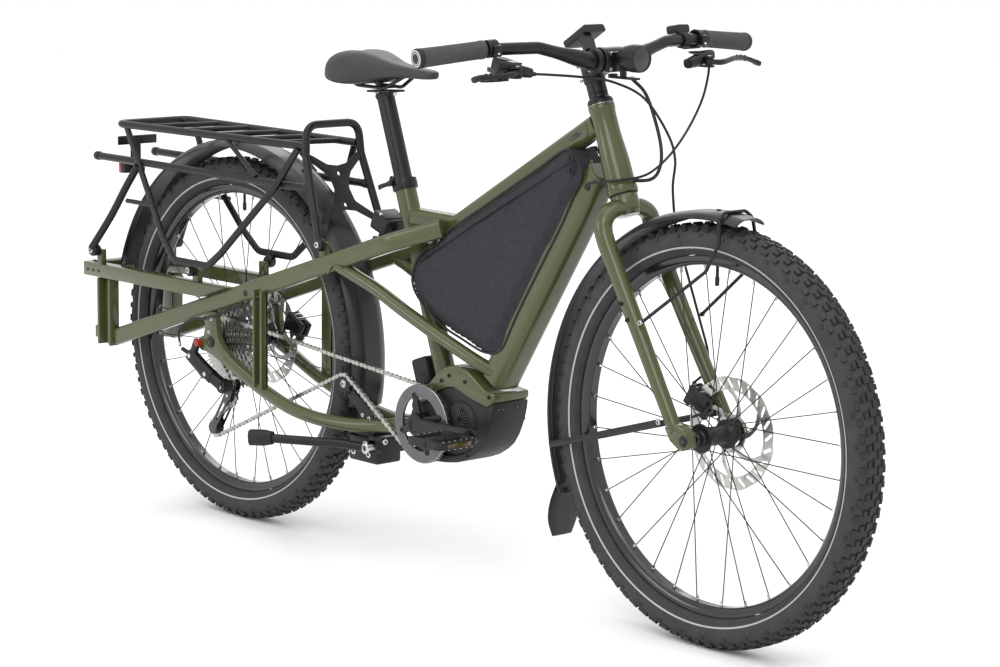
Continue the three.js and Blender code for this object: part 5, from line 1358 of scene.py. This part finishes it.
def hoses():
    b = Build()
    b.tube(spline(FRONT_HOSE, 8), 2.4, "plastic", 12)
    b.tube(spline([(1100, 18, 984), (1121, 33, 958), (1141, 38, 913), (1156, 40, 864), (1160, 34, 829),
                   (1150, 22, 808), (1110, 6, 803)], 8), 3.2, "plastic", 12)
    b.lathe([(2.6, 0), (4.2, 1), (4.2, 12), (3, 15)], (1238.6, 54, 441),
            (Vector(FRONT_HOSE[-2]) - Vector(FRONT_HOSE[-1])), "black", 16)
    b.lathe([(2.6, 0), (4, 1), (4, 12), (3, 14)], FRONT_HOSE[0],
            (Vector(FRONT_HOSE[1]) - Vector(FRONT_HOSE[0])), "black", 16)
    b.done("front_hose_line", "steering", "front_hose", 60)
    c = Build()
    c.tube(spline(REAR_HOSE, 10), 2.4, "plastic", 12)
    c.done("rear_hose_line", None, "rear_hose", 60,
           blend=("steering", "frame", at((1100, 165, 885)), at((1080, -40, 800))))
    d = Build()
    d.tube(spline(GEAR_CABLE, 8), 2.4, "plastic", 12)
    d.lathe([(2.6, 0), (3.6, 0.6), (3.6, 9), (2.6, 11)], GEAR_CABLE[-1],
            (Vector(GEAR_CABLE[-2]) - Vector(GEAR_CABLE[-1])), "silver", 16)
    d.done("gear_cable_line", "frame", "gear_cable", 60)


fork()
handlebar()
stem()
both(grip)
both(brake)
shift_lever()
display()
headlight()
hoses()


# ---- seat ----------------------------------------------------------------------------------
def seatpost():
    b = Build()
    b.lathe([(0, -168), (17.4, -168), (17.4, 150), (0, 150)], SEAT_TOP, SEAT_DIR, "black", 48)
    head = SEAT_TOP - SEAT_DIR * 176
    b.lathe([(0, 0), (17, 0), (19, 4), (20, 9), (18, 12), (0, 12)], SEAT_TOP - SEAT_DIR * 166, -SEAT_DIR,
            "black", 40)
    b.box((head.x + 2, 0, head.z + 5.4), (70, 40, 4.6), "black", -0.05, 1.8)
    b.box((head.x + 2, 0, head.z + 13.6), (66, 40, 4), "black", -0.05, 1.6)
    for dx in (-28, 30):
        b.bolt((head.x + dx, 0, head.z + 3.4), (0, 0, -1), 3.8, 5)
    b.done("seatpost_tube", "seat", "seatpost", 40)


def saddle():
    """Crowned shell with a centre dip, a thin skirt under it and two rails."""
    b = Build()
    stations = [(320, 40, 972, 950), (326, 52, 979, 941), (340, 64.5, 987, 935), (360, 72, 992, 931),
                (384, 74, 994, 929), (408, 69, 993.6, 930), (432, 57, 989, 934), (456, 44.5, 983, 939),
                (484, 33, 976, 944), (512, 25.6, 971.6, 947), (540, 21.6, 969, 948), (566, 19.4, 967, 948),
                (584, 15.6, 965, 949), (593, 9, 962, 951)]
    rings = []
    for x, half, top, edge in smooth_stations(stations):
        ring_verts = []
        count = 36
        for i in range(count):
            a = 2 * math.pi * i / count
            u, v = math.cos(a), math.sin(a)
            width = half * math.copysign(abs(u) ** 0.62, u)
            if v >= 0:
                rise = (top - edge - 8) * v ** 0.8
                dip = 3.6 * math.exp(-(width / 9) ** 2) * min(1, max(0, (half - 16) / 30)) * v
                z = edge + 8 + rise - dip
            else:
                z = edge + 8 - 9 * (-v) ** 0.5
                width *= 1 - 0.1 * -v
            ring_verts.append(b.bm.verts.new((x, width, z)))
        rings.append(ring_verts)
    b.skin(rings, "leather")
    for side in (-1, 1):
        rail = rounded(flip([(366, 36, 946), (388, 24, 926), (470, 22, 925), (522, 12, 952)], side), 26, 6)
        b.tube(rail, 3.6, "black", 16)
    b.done("saddle_shell", "seat", "saddle", 60)


def smooth_stations(stations, steps=4):
    out = []
    a = spline([(s[0], s[1], s[2]) for s in stations], steps)
    c = spline([(s[0], s[1], s[3]) for s in stations], steps)
    for p, q in zip(a, c):
        out.append((p.x, max(p.y, 4), p.z, q.z))
    return out


def seat_lever():
    b = Build()
    o = (498, -31, 744)
    b.lathe([(0, -5), (5.4, -5), (6, -4), (6, 4), (5.4, 5), (0, 5)], o, SEAT_DIR, "black", 28)
    b.sweep(spline([(498, -31, 744), (490, -33, 741.6), (481, -33.4, 738.8), (472, -32, 736),
                    (465, -29.6, 733.6)], 4), rrect(5, 9.4, 2, 3), "black",
            scale=[0.85 + 0.2 * k / 16 for k in range(17)])
    b.done("seat_quick_lever", "seat_lever", "seat_clamp_lever", 40)


seatpost()
saddle()
seat_lever()


# ---- frame bag -----------------------------------------------------------------------------
BAG = [(998, 852), (1030, 812), (1008, 766), (983, 718), (932, 640), (880, 560), (850, 510), (829, 472),
       (812, 458), (792, 453), (762, 455), (712, 470), (664, 485), (622, 508), (588, 532), (572, 552),
       (569, 575), (586, 611), (630, 644), (680, 676), (762, 722), (844, 769), (930, 818), (976, 846)]


def bag():
    """Soft wedge between the tubes: two bulging sides, a gusset and piped seams."""
    outline = [(p.x, p.z) for p in spline([(x, 0, z) for x, z in BAG + BAG[:1]], 4)[:-1]]
    b = Build()
    b.plate(outline, -33, 33, "fabric")
    across = [e for e in b.bm.edges if abs((e.verts[0].co - e.verts[1].co).y) > 20]
    bmesh.ops.subdivide_edges(b.bm, edges=across, cuts=5, use_grid_fill=True)
    ob = b.done("bag_shell", "frame", "frame_bag", 50)
    inflate(ob)
    trim = Build()
    for side in (-1, 1):
        trim.tube([(x, side * 33, z) for x, z in outline], 2.4, "piping", 10, side=(0, 1, 0), closed=True)
        zipper = spline(flip([(600, 41, 606), (680, 43, 650), (780, 43.6, 706), (880, 43.6, 760),
                              (975, 41, 812), (1004, 38, 829)], side), 8)
        trim.sweep(zipper, rrect(9, 1.6, 0.6, 2), "piping")
        trim.sweep(zipper, rrect(2.6, 2.6, 0.8, 2), "gloss")
    for x, z in ((1008, 846), (1011, 825)):
        loop = [(x, -39, z), (x - 4, -41, z - 9), (x + 1, -41, z - 18), (x + 6, -41, z - 9), (x + 2, -39, z)]
        trim.tube(spline(loop, 6), 1.5, "piping", 8)
    trim.done("bag_seams", "frame", (), 50)


def inflate(ob):
    """Swells the shell with a short cloth run, holding it inside the frame's opening."""
    box_low, box_high = -0.0435, 0.0435
    remesh = ob.modifiers.new("remesh", "REMESH")
    remesh.mode = "VOXEL"
    remesh.voxel_size = 0.0045
    remesh.use_smooth_shade = True
    apply_modifiers(ob)
    rest = [v.co.copy() for v in ob.data.vertices]
    cloth = ob.modifiers.new("cloth", "CLOTH")
    cloth.settings.use_pressure = True
    cloth.settings.uniform_pressure_force = 4
    cloth.settings.effector_weights.gravity = 0
    cloth.settings.quality = 5
    for f in range(1, 19):
        bpy.context.scene.frame_set(f)
    apply_modifiers(ob)
    bpy.context.scene.frame_set(1)
    rim_points = [at((x, 0, z)) for x, z in BAG]
    for v, home in zip(ob.data.vertices, rest):
        move = v.co - home
        if move.length > 0.016:
            move *= 0.016 / move.length
        edge = min((Vector((home.x, 0, home.z)) - p).length for p in rim_points)
        keep = min(1.0, edge / 0.05)
        v.co = home + Vector((move.x * 0.15, move.y, move.z * 0.15))
        v.co.y += 0.0016 * math.sin(home.x * 61 + home.z * 38) * keep * math.copysign(1, home.y)
        v.co.y = max(box_low, min(box_high, v.co.y))
        if abs(v.co.y) < 0.025:
            drop = SEAT_TOP.z - v.co.z * 1000
            v.co.x = max(v.co.x, at((SEAT_TOP.x + 24 + drop * 0.3531, 0, 0)).x)
    for p in ob.data.polygons:
        p.use_smooth = True


def apply_modifiers(ob):
    graph = bpy.context.evaluated_depsgraph_get()
    data = bpy.data.meshes.new_from_object(ob.evaluated_get(graph))
    ob.modifiers.clear()
    old = ob.data
    ob.data = data
    bpy.data.meshes.remove(old)


bag()


# ---- floor and light -----------------------------------------------------------------------
def studio():
    me = bpy.data.meshes.new("floor")
    me.from_pydata([(-12, -12, 0), (12, -12, 0), (12, 12, 0), (-12, 12, 0)], [], [(0, 1, 2, 3)])
    me.materials.append(M["floor"])
    floor = bpy.data.objects.new("floor", me)
    bpy.context.collection.objects.link(floor)
    world = bpy.data.worlds.new("studio")
    world.use_nodes = True
    world.node_tree.nodes["Background"].inputs["Color"].default_value = (1, 1, 1, 1)
    world.node_tree.nodes["Background"].inputs["Strength"].default_value = 1.0
    bpy.context.scene.world = world
    sky = bpy.data.lights.new("overhead", "SUN")
    sky.energy = 1.3
    sky.angle = 1.2
    overhead = bpy.data.objects.new("overhead", sky)
    overhead.rotation_euler = (0.18, 0.12, 0)
    bpy.context.collection.objects.link(overhead)
    lamps = (("key", (2.4, -3.4, 3.2), 2.2, 42), ("back", (-2.6, 2.8, 3.0), 2.2, 30),
             ("side", (-1.8, -4.0, 1.8), 1.8, 26))
    for name, place, size, power in lamps:
        data = bpy.data.lights.new(name, "AREA")
        data.shape = "DISK"
        data.size = size
        data.energy = power
        lamp = bpy.data.objects.new(name, data)
        lamp.location = place
        aim = Vector((0, 0, 0.45)) - Vector(place)
        lamp.rotation_euler = aim.to_track_quat("-Z", "Y").to_euler()
        bpy.context.collection.objects.link(lamp)


studio()
bpy.context.scene.view_settings.view_transform = "Standard"
